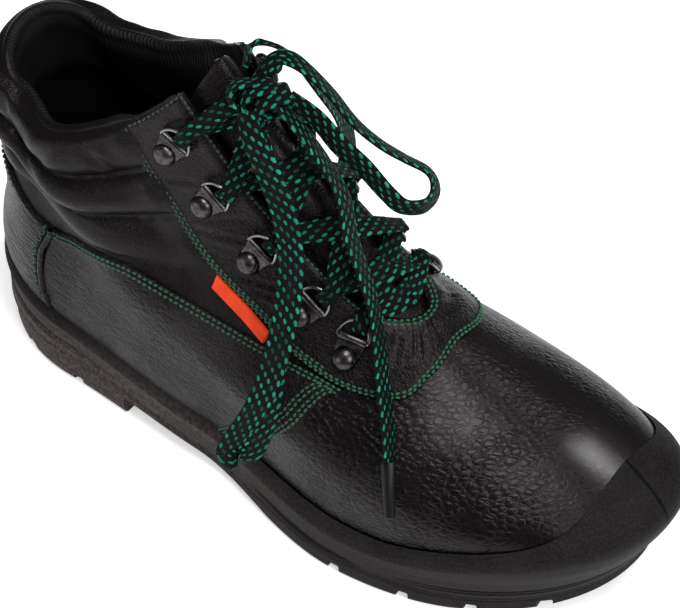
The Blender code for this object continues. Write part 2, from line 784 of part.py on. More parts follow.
def clip_mesh():
    """A folded clip with its rivet head, lying on z = 0 with the rivet at the origin."""
    around = [(BAR_AT + CURL_RADIUS * math.sin(t), CURL_RADIUS - CURL_RADIUS * math.cos(t))
              for t in [math.pi * i / 4 for i in range(5)]]
    outline = [(-1.0 * MM, 0.0)] + around + [(2.5 * MM, CLIP_PLATE), (-1.0 * MM, CLIP_PLATE)]
    hole = [(BAR_AT + HOLE_RADIUS * math.cos(t), CURL_RADIUS + HOLE_RADIUS * math.sin(t))
            for t in [math.tau * i / 6 for i in range(6)]]
    curve = bpy.data.curves.new("clip", "CURVE")
    curve.dimensions = "2D"
    curve.fill_mode = "BOTH"
    curve.extrude = CLIP_HALF
    for corners in (outline, hole):
        line = curve.splines.new("POLY")
        line.points.add(len(corners) - 1)
        for point, corner in zip(line.points, corners):
            point.co = (corner[0], corner[1], 0.0, 1.0)
        line.use_cyclic_u = True
    thing = bpy.data.objects.new("clip", curve)
    bpy.context.scene.collection.objects.link(thing)
    plate = solid_of(thing)
    bpy.data.objects.remove(thing)
    plate.transform(Matrix.Rotation(math.radians(90), 4, "X"))
    build = bmesh.new()
    bmesh.ops.create_cone(build, cap_ends=True, segments=8, radius1=RIVET_RADIUS, radius2=RIVET_RADIUS * 0.98,
                          depth=CLIP_PLATE + 0.2 * MM)
    bmesh.ops.translate(build, verts=build.verts, vec=(0, 0, (CLIP_PLATE + 0.2 * MM) / 2))
    top = [f for f in build.faces if f.normal.z > 0.9]
    for inset, rise in ((0.27 * RIVET_RADIUS, 0.65 * RIVET_RISE), (0.4 * RIVET_RADIUS, 0.35 * RIVET_RISE)):
        bmesh.ops.inset_region(build, faces=top, thickness=inset, use_even_offset=True)
        corners = {v for f in top for v in f.verts}
        bmesh.ops.translate(build, verts=list(corners), vec=(0, 0, rise))
    head = bpy.data.meshes.new("head")
    build.to_mesh(head)
    build.free()
    return joined("clip", [plate, head])


def ring_mesh():
    """A wire D whose straight side lies in the clip's fold."""
    places = []
    for i in range(7):
        t = math.pi * i / 6
        places.append(Vector((RING_DEPTH * math.sin(t), RING_HALF * math.cos(t), 0)))
    tilt = Matrix.Rotation(-RING_TILT, 4, "Y")
    middle = Vector((BAR_AT, 0, CURL_RADIUS))
    return tube_mesh("ring", [tilt @ p + middle for p in places], WIRE_RADIUS, cyclic=True)


def ring_frame(ring, side):
    """Where a clip lies: X toward the throat, Z out of the eyestay."""
    turn = turn_at(ring.level, ring.half, side)
    face = LAID + PANEL
    seat = upper_point(ring.level, turn, face)
    normal = upper_normal(ring.level, turn)
    toward = from_ridge(ring.aim_level, side * ring.aim_half, 0.0) - base_point(ring.level, turn)
    toward = (toward - normal * toward.dot(normal)).normalized()
    beside = normal.cross(toward)
    rise = 0.0
    for i in range(-6, 7):
        for j in range(-6, 7):
            near = upper_point(ring.level + 0.08 * i, turn + 0.015 * j, face) - seat
            if abs(near.dot(beside)) < 1.2 * RIVET_RADIUS and -1.1 * RIVET_RADIUS < near.dot(toward) < 9 * MM:
                rise = max(rise, near.dot(normal))
    seat = seat + normal * (rise + GAP)
    lie = Matrix((toward, beside, normal)).transposed().to_4x4()
    lie.translation = seat
    return lie


def bars_mesh():
    """Crossings of the lace over the throat, between the rings, joined with the bottom bar."""
    stops = [(ring.aim_level - BAR_UNDER, BAR_HALF) for ring in RINGS]
    strands = []
    for first in (-1, 1):
        path = []
        side = first
        below = None
        for level, half in reversed(stops):
            if below is not None:
                path.append(from_ridge((level + below) / 2, 0.0, BAR_LIFT))
            path.append(from_ridge(level - BAR_CORNER, side * half, BAR_LIFT))
            path.append(from_ridge(level + BAR_CORNER, side * half, BAR_LIFT))
            below = level
            side = -side
        strands.append(tube_mesh("strand", path, LACE_RADIUS))
    level, half = stops[-1]
    low = [from_ridge(level, k * half, BAR_LIFT) for k in (-1, -0.5, 0, 0.5, 1)]
    strands.append(tube_mesh("strand", low, LACE_RADIUS))
    return joined("lace_bars", strands)


def knot_mesh():
    build = bmesh.new()
    bmesh.ops.create_uvsphere(build, u_segments=10, v_segments=7, radius=1.0)
    bmesh.ops.scale(build, verts=build.verts, vec=KNOT_SIZE)
    bmesh.ops.translate(build, verts=build.verts, vec=placed(*KNOT))
    data = bpy.data.meshes.new("lace_knot")
    build.to_mesh(data)
    build.free()
    return data


def set_down(things):
    """Moves the part so that its box, without the cords, stands on the origin."""
    corners = []
    for thing in things:
        if thing.name not in CORDS:
            graph = bpy.context.evaluated_depsgraph_get()
            corners += [v.co.copy() for v in thing.evaluated_get(graph).data.vertices]
    low = Vector(min(c[i] for c in corners) for i in range(3))
    high = Vector(max(c[i] for c in corners) for i in range(3))
    shift = Vector((-(low.x + high.x) / 2, -(low.y + high.y) / 2, -low.z))
    for thing in bpy.data.objects:
        thing.data.transform(Matrix.Translation(shift))
    return shift


def main():
    clear_scene()
    shop = Shop()
    shop.add("upper", upper_mesh(), "leather")
    shop.add("midsole", midsole_mesh(), "rubber")
    outsole = shop.add("outsole", outsole_mesh(), "rubber")
    cut(outsole, shop.add_cutter("arch_cutter", arch_cutter()))
    cut(outsole, shop.add_cutter("tread_cutter", tread_cutter()))
    shop.add("insole", insole_mesh(), "lining")
    top = -TONGUE_UNDER
    shop.add("tongue", patch("tongue", 12, 7, tongue_point, top - TONGUE_THICK, top), "lining")
    label = patch("tongue_label", 4, 5, label_point, top + GAP, top + GAP + LABEL_THICK)
    shop.add("tongue_label", label, "red")

    shop.add("eyestay", patch("eyestay", 45, 5, eyestay_point, LAID, LAID + PANEL), "leather")
    for side, name in ((-1, "quarter_outer"), (1, "quarter_inner")):
        shop.add(name, patch(name, 8, 12, quarter_point(side), LAID, LAID + PANEL), "leather")
    shop.add("heel_counter", patch("heel_counter", 7, 13, counter_point, LAID, LAID + PANEL), "leather")
    shop.add("side_tab", patch("side_tab", 5, 3, tab_point, LAID, LAID + TAB_THICK), "red")

    clip, ring = clip_mesh(), ring_mesh()
    for side, name in ((-1, "outer"), (1, "inner")):
        for number, row in enumerate(RINGS, 1):
            lie = ring_frame(row, side)
            for kind, pattern in (("clip", clip), ("ring", ring)):
                data = pattern.copy()
                data.transform(lie)
                shop.add("%s_%s_%d" % (kind, name, number), data, "metal")

    shop.add("lace_bars", bars_mesh(), "lace")
    shop.add("lace_knot", knot_mesh(), "lace")
    for name, places in (
        ("lace_loop_near", NEAR_LOOP), ("lace_loop_far", FAR_LOOP),
        ("lace_end_near", NEAR_END), ("lace_end_far", FAR_END),
    ):
        shop.add(name, tube_curve(name, smooth_path(places), LACE_RADIUS), "lace")
    for name, places in (("aglet_near", NEAR_AGLET), ("aglet_far", FAR_AGLET)):
        shop.add(name, tube_curve(name, smooth_path(places), AGLET_RADIUS), "tip")
    print("set down by", set_down(list(shop.parts.objects)))


main()
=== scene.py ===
import math

import bmesh
import bpy
import numpy as np
from mathutils import Matrix, Vector


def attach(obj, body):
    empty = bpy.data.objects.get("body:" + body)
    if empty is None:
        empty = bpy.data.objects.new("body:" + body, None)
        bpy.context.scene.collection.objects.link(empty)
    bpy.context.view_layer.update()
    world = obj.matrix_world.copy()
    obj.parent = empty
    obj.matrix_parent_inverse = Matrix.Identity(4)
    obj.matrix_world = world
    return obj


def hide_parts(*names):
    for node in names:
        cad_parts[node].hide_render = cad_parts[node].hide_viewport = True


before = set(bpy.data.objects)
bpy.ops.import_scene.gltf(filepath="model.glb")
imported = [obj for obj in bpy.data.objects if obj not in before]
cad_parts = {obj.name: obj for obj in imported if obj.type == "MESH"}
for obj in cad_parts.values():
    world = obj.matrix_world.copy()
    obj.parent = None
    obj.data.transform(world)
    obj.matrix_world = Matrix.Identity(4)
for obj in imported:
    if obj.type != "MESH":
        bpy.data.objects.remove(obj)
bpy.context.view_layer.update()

mm = 0.001

# the last: sections from the sole to the collar, in mm from the heel
last = {
    "placeX": -152.4,
    "placeY": -1.2,
    "length": 304.0,
    "swing": 15.0,
    "swingFrom": 110.0,
    "heelRound": 0.17,
    "waistAt": 0.42,
    "ballAt": 0.70,
    "levelStep": 0.02,  # small steps that give the slopes
    "turnStep": 0.004,
    # backX backZ midZ frontX frontZ heel waistOut waistIn ballOut ballIn toeFrom toePower
    "feather": (10, 36.5, 16.5, 285, 17, 36.5, 39, 35, 55.5, 43, 0.71, 2.05),
    "side": (5.5, 46, 32, 296.5, 37, 39, 42, 37.5, 57, 44.5, 0.71, 2.1),
    "shoulder": (6.5, 57.5, 46, 294.5, 48, 38.5, 42.5, 38.4, 55.5, 42.8, 0.70, 2.1),
    "toeTop": (10, 69.5, 59, 269, 60, 37, 42.5, 38.4, 49.7, 39.8, 0.65, 2.1),
    "vamp": (12.5, 81, 71, 232, 72.5, 35.5, 42, 38.4, 40, 35.5, 0.60, 2.1),
    "throat": (13.5, 92.5, 81.5, 200.5, 86.5, 34.3, 41.5, 38, 35.5, 35.5, 0.50, 1.95),
    "instep": (14, 103, 92.5, 172.5, 109, 32.5, 40.5, 36, 31, 34, 0.45, 1.95),
    "rollLow": (14, 114, 104, 149, 133.5, 30.5, 38.5, 34.5, 28, 32, 0.44, 1.9),
    "rollHigh": (14, 125, 117, 131, 156.5, 28, 36, 32.5, 27, 32, 0.43, 1.85),
    "collar": (14, 139.5, 131, 115.5, 174, 24, 33, 29.5, 28, 35, 0.42, 1.8),
}
lastRows = np.array([row for row in last.values() if isinstance(row, tuple)])
topLevel = len(lastRows) - 1


def ease(q):
    q = np.clip(q, 0.0, 1.0)
    return q * q * (3 - 2 * q)


def mix(a, b, q):
    return a + (b - a) * q


def bell(q, middle, width):
    return np.exp(-(((q - middle) / width) ** 2))


def unit(ways):
    return ways / np.linalg.norm(ways, axis=-1, keepdims=True)


def headings(line):  # which way a line runs at each of its points
    return unit(np.gradient(line, axis=0))


def halve(low, high, goesUp, rounds):  # closes in on the place where goesUp changes
    for _ in range(rounds):
        middle = (low + high) / 2
        up = goesUp(middle)
        low, high = np.where(up, middle, low), np.where(up, high, middle)
    return low, high


def curveThrough(table, at):  # rows of a table, eased between them
    table = np.asarray(table, float)
    final = len(table) - 1
    i = np.clip(np.floor(at).astype(int), 0, final - 1)
    f = (at - i)[..., None]
    a, b, c, d = (table[np.clip(i + k, 0, final)] for k in (-1, 0, 1, 2))
    square, cube = 2 * a - 5 * b + 4 * c - d, 3 * b - a - 3 * c + d
    return 0.5 * (2 * b + f * (c - a) + f * f * square + f**3 * cube)


def halfWidth(row, inner, p):
    waist = np.where(inner, row[..., 7], row[..., 6])
    ball = np.where(inner, row[..., 9], row[..., 8])
    back = mix(row[..., 5], waist, ease((p - last["heelRound"]) / (last["waistAt"] - last["heelRound"])))
    fore = mix(waist, ball, ease((p - last["waistAt"]) / (last["ballAt"] - last["waistAt"])))
    width = np.where(p < last["waistAt"], back, fore)
    heel = np.clip(1 - p / last["heelRound"], 0, 1)
    toe = np.clip((p - row[..., 10]) / (1 - row[..., 10]), 0, 1)
    power = row[..., 11]
    return width * np.sqrt(1 - heel**2) * np.clip(1 - toe**power, 0, 1) ** (1 / power)


def shareOf(turn):
    return (1 - np.cos(np.pi * np.abs(turn))) / 2


def placed(x, y, z):  # mm from the heel to metres in the frame
    return np.stack([x + last["placeX"], y + last["placeY"], z], -1) * mm


def swingAt(x):  # how far the sections move to the inner side
    return last["swing"] * ease((x - last["swingFrom"]) / (last["length"] - last["swingFrom"]))


def onLast(level, turn):
    level, turn = np.broadcast_arrays(np.asarray(level, float), np.asarray(turn, float))
    turn = (turn + 1) % 2 - 1
    turn = np.where(turn == -1, 1.0, turn)
    row = curveThrough(lastRows, level)
    p = shareOf(turn)
    x = mix(row[..., 0], row[..., 3], p)
    z = row[..., 1] * (1 - p) * (1 - 2 * p) + 4 * row[..., 2] * p * (1 - p) + row[..., 4] * p * (2 * p - 1)
    return placed(x, swingAt(x) + np.sign(turn) * halfWidth(row, turn > 0, p), z)


def upAt(level, turn):
    step = last["levelStep"]
    return onLast(level + step, turn) - onLast(level - step, turn)


def normalAt(level, turn):
    step = last["turnStep"]
    return unit(np.cross(upAt(level, turn), onLast(level, turn + step) - onLast(level, turn - step)))


def skin(level, turn, out):  # out in mm
    level, turn, out = np.broadcast_arrays(*(np.asarray(q, float) for q in (level, turn, out)))
    return onLast(level, turn) + normalAt(level, turn) * out[..., None] * mm


def turnAt(level, half, side):  # turn near the ridge where the section is this half width
    level, half, side = np.broadcast_arrays(*(np.asarray(q, float) for q in (level, half, side)))
    row = curveThrough(lastRows, level)
    low, high = halve(np.full(level.shape, 0.5), np.ones(level.shape),
                      lambda turn: halfWidth(row, side > 0, shareOf(turn)) > half, 28)
    return side * np.where(half < 0.05, 1.0, (low + high) / 2)


def fromRidge(level, across, out):  # across in mm, negative on the outer side
    across = np.asarray(across, float)
    return skin(level, turnAt(level, np.abs(across), np.where(across < 0, -1.0, 1.0)), out)


def runAlong(points):  # distance along the last but one axis, in mm
    step = np.linalg.norm(np.diff(points, axis=-2), axis=-1) / mm
    return np.concatenate([np.zeros(step.shape[:-1] + (1,)), np.cumsum(step, -1)], -1)


# modelling helpers
def deselectAll():
    if bpy.context.object and bpy.context.object.mode != "OBJECT":
        bpy.ops.object.mode_set(mode="OBJECT")
    bpy.ops.object.select_all(action="DESELECT")


def pick(piece):
    deselectAll()
    piece.select_set(True)
    bpy.context.view_layer.objects.active = piece


def editAll(piece):  # edit mode, with everything selected
    pick(piece)
    bpy.ops.object.mode_set(mode="EDIT")
    bpy.ops.mesh.select_all(action="SELECT")


def leaveEdit():
    bpy.ops.object.mode_set(mode="OBJECT")


def wrapGrid(name, across, along, place):  # a grid primitive whose points are laid by place(u, v)
    deselectAll()
    bpy.ops.mesh.primitive_grid_add(x_subdivisions=across, y_subdivisions=along, size=1, calc_uvs=True)
    piece = bpy.context.object
    piece.name = name
    flat = np.empty(len(piece.data.vertices) * 3)
    piece.data.vertices.foreach_get("co", flat)
    gridX, gridY, _ = np.round(flat.reshape(-1, 3) + 0.5, 6).T
    u, v = np.unique(gridX), np.unique(gridY)
    spots = place(*np.meshgrid(u, v))
    column = np.searchsorted(u, gridX - 1e-5)
    row = np.searchsorted(v, gridY - 1e-5)
    piece.data.vertices.foreach_set("co", spots[row, column].ravel())
    piece.data.update()
    return piece, spots, (row, column)


def setUv(piece, s, t):  # a second map in mm, one pair for each vertex
    layer = piece.data.uv_layers.new(name="inMm")
    loops = np.empty(len(piece.data.loops), int)
    piece.data.loops.foreach_get("vertex_index", loops)
    layer.data.foreach_set("uv", np.stack([s[loops], t[loops]], -1).ravel())


def weld(piece, distance=1e-6):
    editAll(piece)
    bpy.ops.mesh.remove_doubles(threshold=distance)
    bpy.ops.mesh.normals_make_consistent(inside=False)
    leaveEdit()


def useModifier(piece, kind, **settings):
    pick(piece)
    made = piece.modifiers.new(kind.lower(), kind)
    for key, value in settings.items():
        setattr(made, key, value)
    bpy.ops.object.modifier_apply(modifier=made.name)


def smooth(piece, angle=None):
    pick(piece)
    if angle is None:
        bpy.ops.object.shade_smooth()
    else:
        bpy.ops.object.shade_smooth_by_angle(angle=math.radians(angle))


def fillEnds(piece):  # closes the open loops of a tube
    editAll(piece)
    bpy.ops.mesh.fill_holes(sides=0)
    bpy.ops.mesh.select_all(action="SELECT")
    bpy.ops.mesh.normals_make_consistent(inside=False)
    leaveEdit()


def finishPiece(piece, material, slotName, *nodes):
    piece.data.materials.clear()
    piece.data.materials.append(material)
    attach(piece, "root")
    if nodes:
        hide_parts(*nodes)


# shader maths on sockets
class Wire:
    def __init__(self, tree, socket=None):
        self.tree = tree
        self.socket = socket

    def node(self, kind, settings=None, inputs=None, out=0):
        made = self.tree.nodes.new(kind)
        for key, value in (settings or {}).items():
            setattr(made, key, value)
        for key, value in (inputs or {}).items():
            if isinstance(value, Wire):
                self.tree.links.new(value.socket, made.inputs[key])
            else:
                made.inputs[key].default_value = value
        return Wire(self.tree, made.outputs[out])

    def calc(self, operation, *values):
        return self.node("ShaderNodeMath", {"operation": operation}, dict(enumerate(values)))

    def __add__(self, other):
        return self.calc("ADD", self, other)

    __radd__ = __add__

    def __sub__(self, other):
        return self.calc("SUBTRACT", self, other)

    def __rsub__(self, other):
        return self.calc("SUBTRACT", other, self)

    def __mul__(self, other):
        return self.calc("MULTIPLY", self, other)

    __rmul__ = __mul__

    def __truediv__(self, other):
        return self.calc("DIVIDE", self, other)

    def __pow__(self, other):
        return self.calc("POWER", self, other)

    def __abs__(self):
        return self.calc("ABSOLUTE", self)

    def clamp(self):
        return self.node("ShaderNodeClamp", None, {"Value": self})

    def between(self, low, high):  # 0 below low, 1 above high
        return self.node("ShaderNodeMapRange", {"interpolation_type": "SMOOTHSTEP"},
                         {"Value": self, "From Min": low, "From Max": high})

    def blend(self, first, second):  # colours, with this as the factor
        return self.node("ShaderNodeMix", {"data_type": "RGBA"}, {0: self, 6: first, 7: second}, out=2)

    def axes(self):
        parts = self.node("ShaderNodeSeparateXYZ", None, {0: self}).socket.node
        return [Wire(self.tree, socket) for socket in parts.outputs]

    def objectSpots(self):
        return self.node("ShaderNodeTexCoord", out="Object")


def newMaterial(name, **constants):
    made = bpy.data.materials.new(name)
    made.use_nodes = True
    shader = made.node_tree.nodes["Principled BSDF"]
    for key, value in constants.items():
        shader.inputs[key.replace("_", " ")].default_value = value
    return made, shader, Wire(made.node_tree)


def feed(shader, **wires):
    for key, wire in wires.items():
        shader.id_data.links.new(wire.socket, shader.inputs[key.replace("_", " ")])


def noise(wire, coords, scale, detail=3.0, rough=0.55):
    return wire.node("ShaderNodeTexNoise", None,
                     {"Vector": coords, "Scale": scale, "Detail": detail, "Roughness": rough})


def bump(wire, height, strength, distance, normal=None):
    inputs = {"Height": height, "Strength": strength, "Distance": distance}
    if normal:
        inputs["Normal"] = normal
    return wire.node("ShaderNodeBump", None, inputs)


leatherLook = {
    "dark": (0.0026, 0.0022, 0.0026, 1),
    "light": (0.0050, 0.0042, 0.0047, 1),
    "scuff": (0.012, 0.0105, 0.011, 1),
    "shine": (1.0, 0.86, 0.93, 1),
    "specular": 0.135,
    "coatRough": 0.24,
    "toeCoatRough": 0.22,
    "toe": (0.085, 0.13),
    "ridgeY": 0.009,
    "flank": (0.008, 0.03),  # away from the ridge
    "polishAlong": (0.104, 0.118),
    "polishAside": (0.004, 0.014),
    "wander": (0.0018, 0.0018, 0.0018),
}


def leather(name, pebble, depth, rough, wrinkle=0.0, stretch=(1, 1, 1), lengthen=1.0, turned=0.0,
            toe=False):
    look = leatherLook
    made, shader, wire = newMaterial(name, Specular_IOR_Level=look["specular"], Specular_Tint=look["shine"],
                                     Coat_Roughness=look["toeCoatRough" if toe else "coatRough"])
    spots = wire.objectSpots()
    spun = wire.node("ShaderNodeMapping", None, {"Vector": spots, "Rotation": (0, 0, math.radians(turned))})
    drawn = wire.node("ShaderNodeMapping", None, {"Vector": spun, "Scale": (1 / lengthen, 1, 1)})
    wander = wire.node("ShaderNodeTexNoise", None, {"Vector": drawn, "Scale": 420.0, "Detail": 2.0},
                       out="Color")
    bent = wire.node("ShaderNodeVectorMath", {"operation": "MULTIPLY_ADD"},
                     {0: wander, 1: look["wander"], 2: drawn})
    cellSize = {"Vector": bent, "Scale": 1000.0 / pebble}
    border = wire.node("ShaderNodeTexVoronoi", {"feature": "DISTANCE_TO_EDGE"}, cellSize)
    centre = wire.node("ShaderNodeTexVoronoi", {"feature": "F1"}, cellSize)
    finer = wire.node("ShaderNodeTexVoronoi", {"feature": "SMOOTH_F1"},
                      {"Vector": bent, "Scale": 2300.0 / pebble, "Smoothness": 0.4})
    broad = noise(wire, spots, 26.0, 3.0)
    patches = noise(wire, spots, 60.0, 2.0)
    pillow = 0.45 * border.between(0.0, 0.2) + 0.65 * (1.0 - centre.between(0.0, 0.85))
    amount = 0.45 + 0.55 * patches.between(0.36, 0.6)
    gloss = broad.between(0.4, 0.7) * 0.12
    if toe:  # drawn tight over the toe and along the ridge: less grain there, and more shine at the front
        along, aside, _ = spots.axes()
        aside = abs(aside - look["ridgeY"])
        front = along.between(*look["toe"])
        amount = amount * (1.0 - 0.7 * front) * (0.4 + 0.6 * aside.between(*look["flank"]))
        polished = along.between(*look["polishAlong"]) * (1.0 - aside.between(*look["polishAside"]))
        gloss = gloss * (1.0 - 0.7 * front) + 0.42 * polished
    height = pillow * amount - 0.16 * finer
    if wrinkle:
        long = wire.node("ShaderNodeMapping", None, {"Vector": spots, "Scale": stretch})
        folds = wire.node("ShaderNodeTexNoise", None,
                          {"Vector": long, "Scale": 190.0, "Detail": 2.5, "Distortion": 0.7})
        height = height + wrinkle * folds.between(0.28, 0.72)
    normal = bump(wire, height, 0.85, depth * mm)
    normal = bump(wire, broad, 0.35, 1.6 * mm, normal)
    tone = broad.between(0.3, 0.7).blend(look["dark"], look["light"])
    worn = (noise(wire, spots, 260.0, 4.0).between(0.66, 0.78) * 0.3).blend(tone, look["scuff"])
    feed(shader, Base_Color=worn, Normal=normal, Coat_Weight=gloss,
         Roughness=rough + 0.14 * patches - 0.08 * pillow)
    return made


def rimLeather(name):  # gathered over the edge of the collar; reads the shell's own map
    made, shader, wire = newMaterial(name, Specular_IOR_Level=0.16)
    lie = wire.node("ShaderNodeUVMap", {"uv_map": "UVMap"})
    spots = wire.objectSpots()
    across = lie.axes()[0]
    drift = noise(wire, spots, 160.0, 2.0)
    pleat = across.calc("SINE", across * (2 * math.pi * 170) + drift * 9.0)
    fine = noise(wire, spots, 700.0, 3.0)
    broad = noise(wire, spots, 60.0)
    tone = broad.between(0.3, 0.7).blend((0.003, 0.0026, 0.003, 1), (0.006, 0.0052, 0.0056, 1))
    feed(shader, Base_Color=tone, Roughness=0.5 + 0.15 * fine,
         Normal=bump(wire, pleat * 0.5 * drift.between(0.3, 0.6) + fine * 0.4, 0.7, 0.5 * mm))
    return made


def liningCloth(name):
    made, shader, wire = newMaterial(name, Specular_IOR_Level=0.12)
    spots = wire.objectSpots()
    weave = wire.node("ShaderNodeTexVoronoi", {"feature": "F1"}, {"Vector": spots, "Scale": 1500.0})
    folds = noise(wire, spots, 150.0, 3.0)
    broad = noise(wire, spots, 60.0)
    tone = broad.between(0.3, 0.7).blend((0.0016, 0.0015, 0.0016, 1), (0.0038, 0.0035, 0.0036, 1))
    feed(shader, Base_Color=tone, Roughness=0.85 + 0.12 * broad,
         Normal=bump(wire, 0.5 * weave + 0.8 * folds, 0.4, 0.5 * mm))
    return made


rubberLook = {
    "dark": (0.006, 0.0052, 0.0052, 1),
    "pale": (0.012, 0.0103, 0.0103, 1),
    "rubbed": (0.042, 0.036, 0.0355, 1),
    "speckle": (0.034, 0.0295, 0.0295, 1),
    # dust and painted floor light: a pale speckled tone that is partly real dust and partly painted light
    # bounced up from the pale floor onto the low side wall and the heel
    "dustAndFloorLight": (0.066, 0.052, 0.048, 1),
    "dustAndFloorLightBelow": (0.02, 0.035),
    "dustAndFloorLightHeel": (-0.07, 0.04),
    "line": (0.001, 0.001, 0.001, 1),
    "lineThrough": (0.129, 0.0145),
    "lineAcross": (0.24, 0.97),
    "lineHalf": 0.0004,
    "lineFrom": (0.118, 0.12),
}


def moulded(name, parted=False):  # the sole; parted: with the mould's line down the bumper
    look = rubberLook
    made, shader, wire = newMaterial(name, Specular_IOR_Level=0.07)
    spots = wire.objectSpots()
    fine = wire.node("ShaderNodeTexVoronoi", {"feature": "SMOOTH_F1"}, {"Vector": spots, "Scale": 1100.0})
    grit = noise(wire, spots, 1500.0, 3.0)
    patches = noise(wire, spots, 55.0, 4.0)
    scratch = wire.node("ShaderNodeMapping", None, {"Vector": spots, "Scale": (0.25, 1.0, 3.0)})
    rubs = noise(wire, scratch, 500.0, 3.0).between(0.62, 0.75)
    height = fine * 0.7 + grit * 0.6
    tone = patches.between(0.3, 0.75).blend(look["dark"], look["pale"])
    tone = (rubs * patches.between(0.45, 0.7) * 0.5).blend(tone, look["rubbed"])
    tone = (noise(wire, spots, 1100.0, 2.0).between(0.42, 0.7) * 0.32).blend(tone, look["speckle"])
    x, y, z = spots.axes()
    # partly dust, partly painted light: lighter towards the floor and towards the heel, standing in for
    # light bounced from the floor as well as dust
    dustAndFloorLight = (1.0 - z.between(*look["dustAndFloorLightBelow"])) * (1.0 - 0.92 * x.between(*look["dustAndFloorLightHeel"]))
    speck = noise(wire, spots, 620.0, 3.0).between(0.36, 0.66)
    tone = (dustAndFloorLight * (0.2 + 0.8 * speck)).blend(tone, look["dustAndFloorLight"])
    if parted:
        (x0, y0), (acrossX, acrossY) = look["lineThrough"], look["lineAcross"]
        away = abs(x * acrossX + y * acrossY - (x0 * acrossX + y0 * acrossY))
        line = (1.0 - away.between(look["lineHalf"], 2 * look["lineHalf"])) * x.between(*look["lineFrom"])
        height = height - 2.5 * line
        tone = (line * 0.8).blend(tone, look["line"])
    feed(shader, Base_Color=tone, Roughness=0.52 + 0.18 * patches,
         Normal=bump(wire, height, 0.6, 0.34 * mm))
    return made


def gunmetal(name, dark, light):
    made, shader, wire = newMaterial(name, Metallic=1.0)
    spots = wire.objectSpots()
    cloud = noise(wire, spots, 420.0, 3.0)
    wear = noise(wire, spots, 1400.0, 4.0).between(0.58, 0.72)
    tone = cloud.between(0.3, 0.7).blend(dark, light)
    feed(shader, Base_Color=(wear * 0.35).blend(tone, (0.3, 0.29, 0.28, 1)), Roughness=0.2 + 0.2 * cloud,
         Normal=bump(wire, cloud + wear * 0.4, 0.15, 0.12 * mm))
    return made


braidLook = {
    "pitchAlong": 4.7,
    "pitchAcross": 3.8,
    "halfLong": 1.08,
    "halfWide": 0.54,
    "slant": 20.0,
    "fleck": (0.0018, 0.03, 0.02, 1),
    "fleckPale": (0.02, 0.34, 0.22, 1),
    "yarnTint": (0.003, 0.015, 0.0115, 1),
    "gap": (0.0006, 0.0006, 0.0006, 1),
    "ground": (0.0042, 0.0037, 0.004, 1),
}


def braid(name):  # reads the lace's own map, in mm
    look = braidLook
    made, shader, wire = newMaterial(name, Specular_IOR_Level=0.1)
    lie = wire.node("ShaderNodeUVMap", {"uv_map": "inMm"})
    along, across, _ = lie.axes()
    sway = noise(wire, lie, 0.35, 1.0) * 0.14
    p = along / look["pitchAlong"] + across / look["pitchAcross"] + sway
    q = along / look["pitchAlong"] - across / look["pitchAcross"] + sway
    nearP = p.calc("WRAP", p, 0.5, -0.5)
    nearQ = q.calc("WRAP", q, 0.5, -0.5)
    ahead = (nearP + nearQ) * (look["pitchAlong"] / 2)
    aside = (nearP - nearQ) * (look["pitchAcross"] / 2)
    cosine, sine = math.cos(math.radians(look["slant"])), math.sin(math.radians(look["slant"]))
    a = (ahead * cosine + aside * sine) / look["halfLong"]
    b = (aside * cosine - ahead * sine) / look["halfWide"]
    edge = 0.7 * across.between(1.8, 4.0) + 0.35 * (0.0 - across).between(2.2, 4.2)
    fleck = 1.0 - ((a * a + b * b) / (1.0 + 0.7 * edge)).between(0.55, 1.25)
    # each fleck has its own brightness
    cell = wire.node("ShaderNodeCombineXYZ", None, {0: p - nearP, 1: q - nearQ})
    lively = wire.node("ShaderNodeTexWhiteNoise", {"noise_dimensions": "2D"}, {"Vector": cell})
    green = (0.05 + 0.55 * lively ** 1.5 + 0.5 * edge).clamp().blend(look["fleck"], look["fleckPale"])
    # the yarns between the flecks, two to a pitch
    yarn = p.calc("COSINE", p * (4 * math.pi)) * q.calc("COSINE", q * (4 * math.pi))
    twist = p.calc("SINE", (p * 3.0 + q) * 16.0)
    height = yarn * 0.6 + fleck * 0.35 + twist * 0.12
    ground = (yarn * 0.8 + twist * 0.2).between(-0.6, 0.9).blend(look["gap"], look["ground"])
    ground = ((0.0 - yarn).between(0.3, 0.95) * 0.6).blend(ground, look["yarnTint"])
    feed(shader, Base_Color=fleck.blend(ground, green), Roughness=0.6 + 0.2 * lively,
         Normal=bump(wire, height, 0.9, 0.4 * mm))
    return made


def wovenTab(name):
    made, shader, wire = newMaterial(name, Specular_IOR_Level=0.2)
    spots = wire.objectSpots()
    weave = wire.node("ShaderNodeTexVoronoi", {"feature": "F1"}, {"Vector": spots, "Scale": 2600.0})
    broad = noise(wire, spots, 160.0)
    tone = broad.between(0.3, 0.7).blend((0.66, 0.042, 0.007, 1), (0.8, 0.062, 0.011, 1))
    feed(shader, Base_Color=tone, Roughness=0.6 + 0.2 * weave, Normal=bump(wire, weave, 0.4, 0.15 * mm))
    return made


def thread(name, low, top, front):  # its colour changes a little towards the collar and the front
    made, shader, wire = newMaterial(name, Specular_IOR_Level=0.3)
    spots = wire.objectSpots()
    along, _, high = spots.axes()
    ply = noise(wire, spots, 1800.0, 2.0)
    patch = noise(wire, spots, 140.0, 2.0)
    upper = (high.between(0.09, 0.13) * 0.75 + patch.between(0.35, 0.65) * 0.4 - 0.1).clamp()
    tone = upper.blend(along.between(0.0, 0.05).blend(low, front), top)
    feed(shader, Base_Color=tone, Roughness=0.45 + 0.2 * ply, Normal=bump(wire, ply, 0.5, 0.2 * mm))
    return made


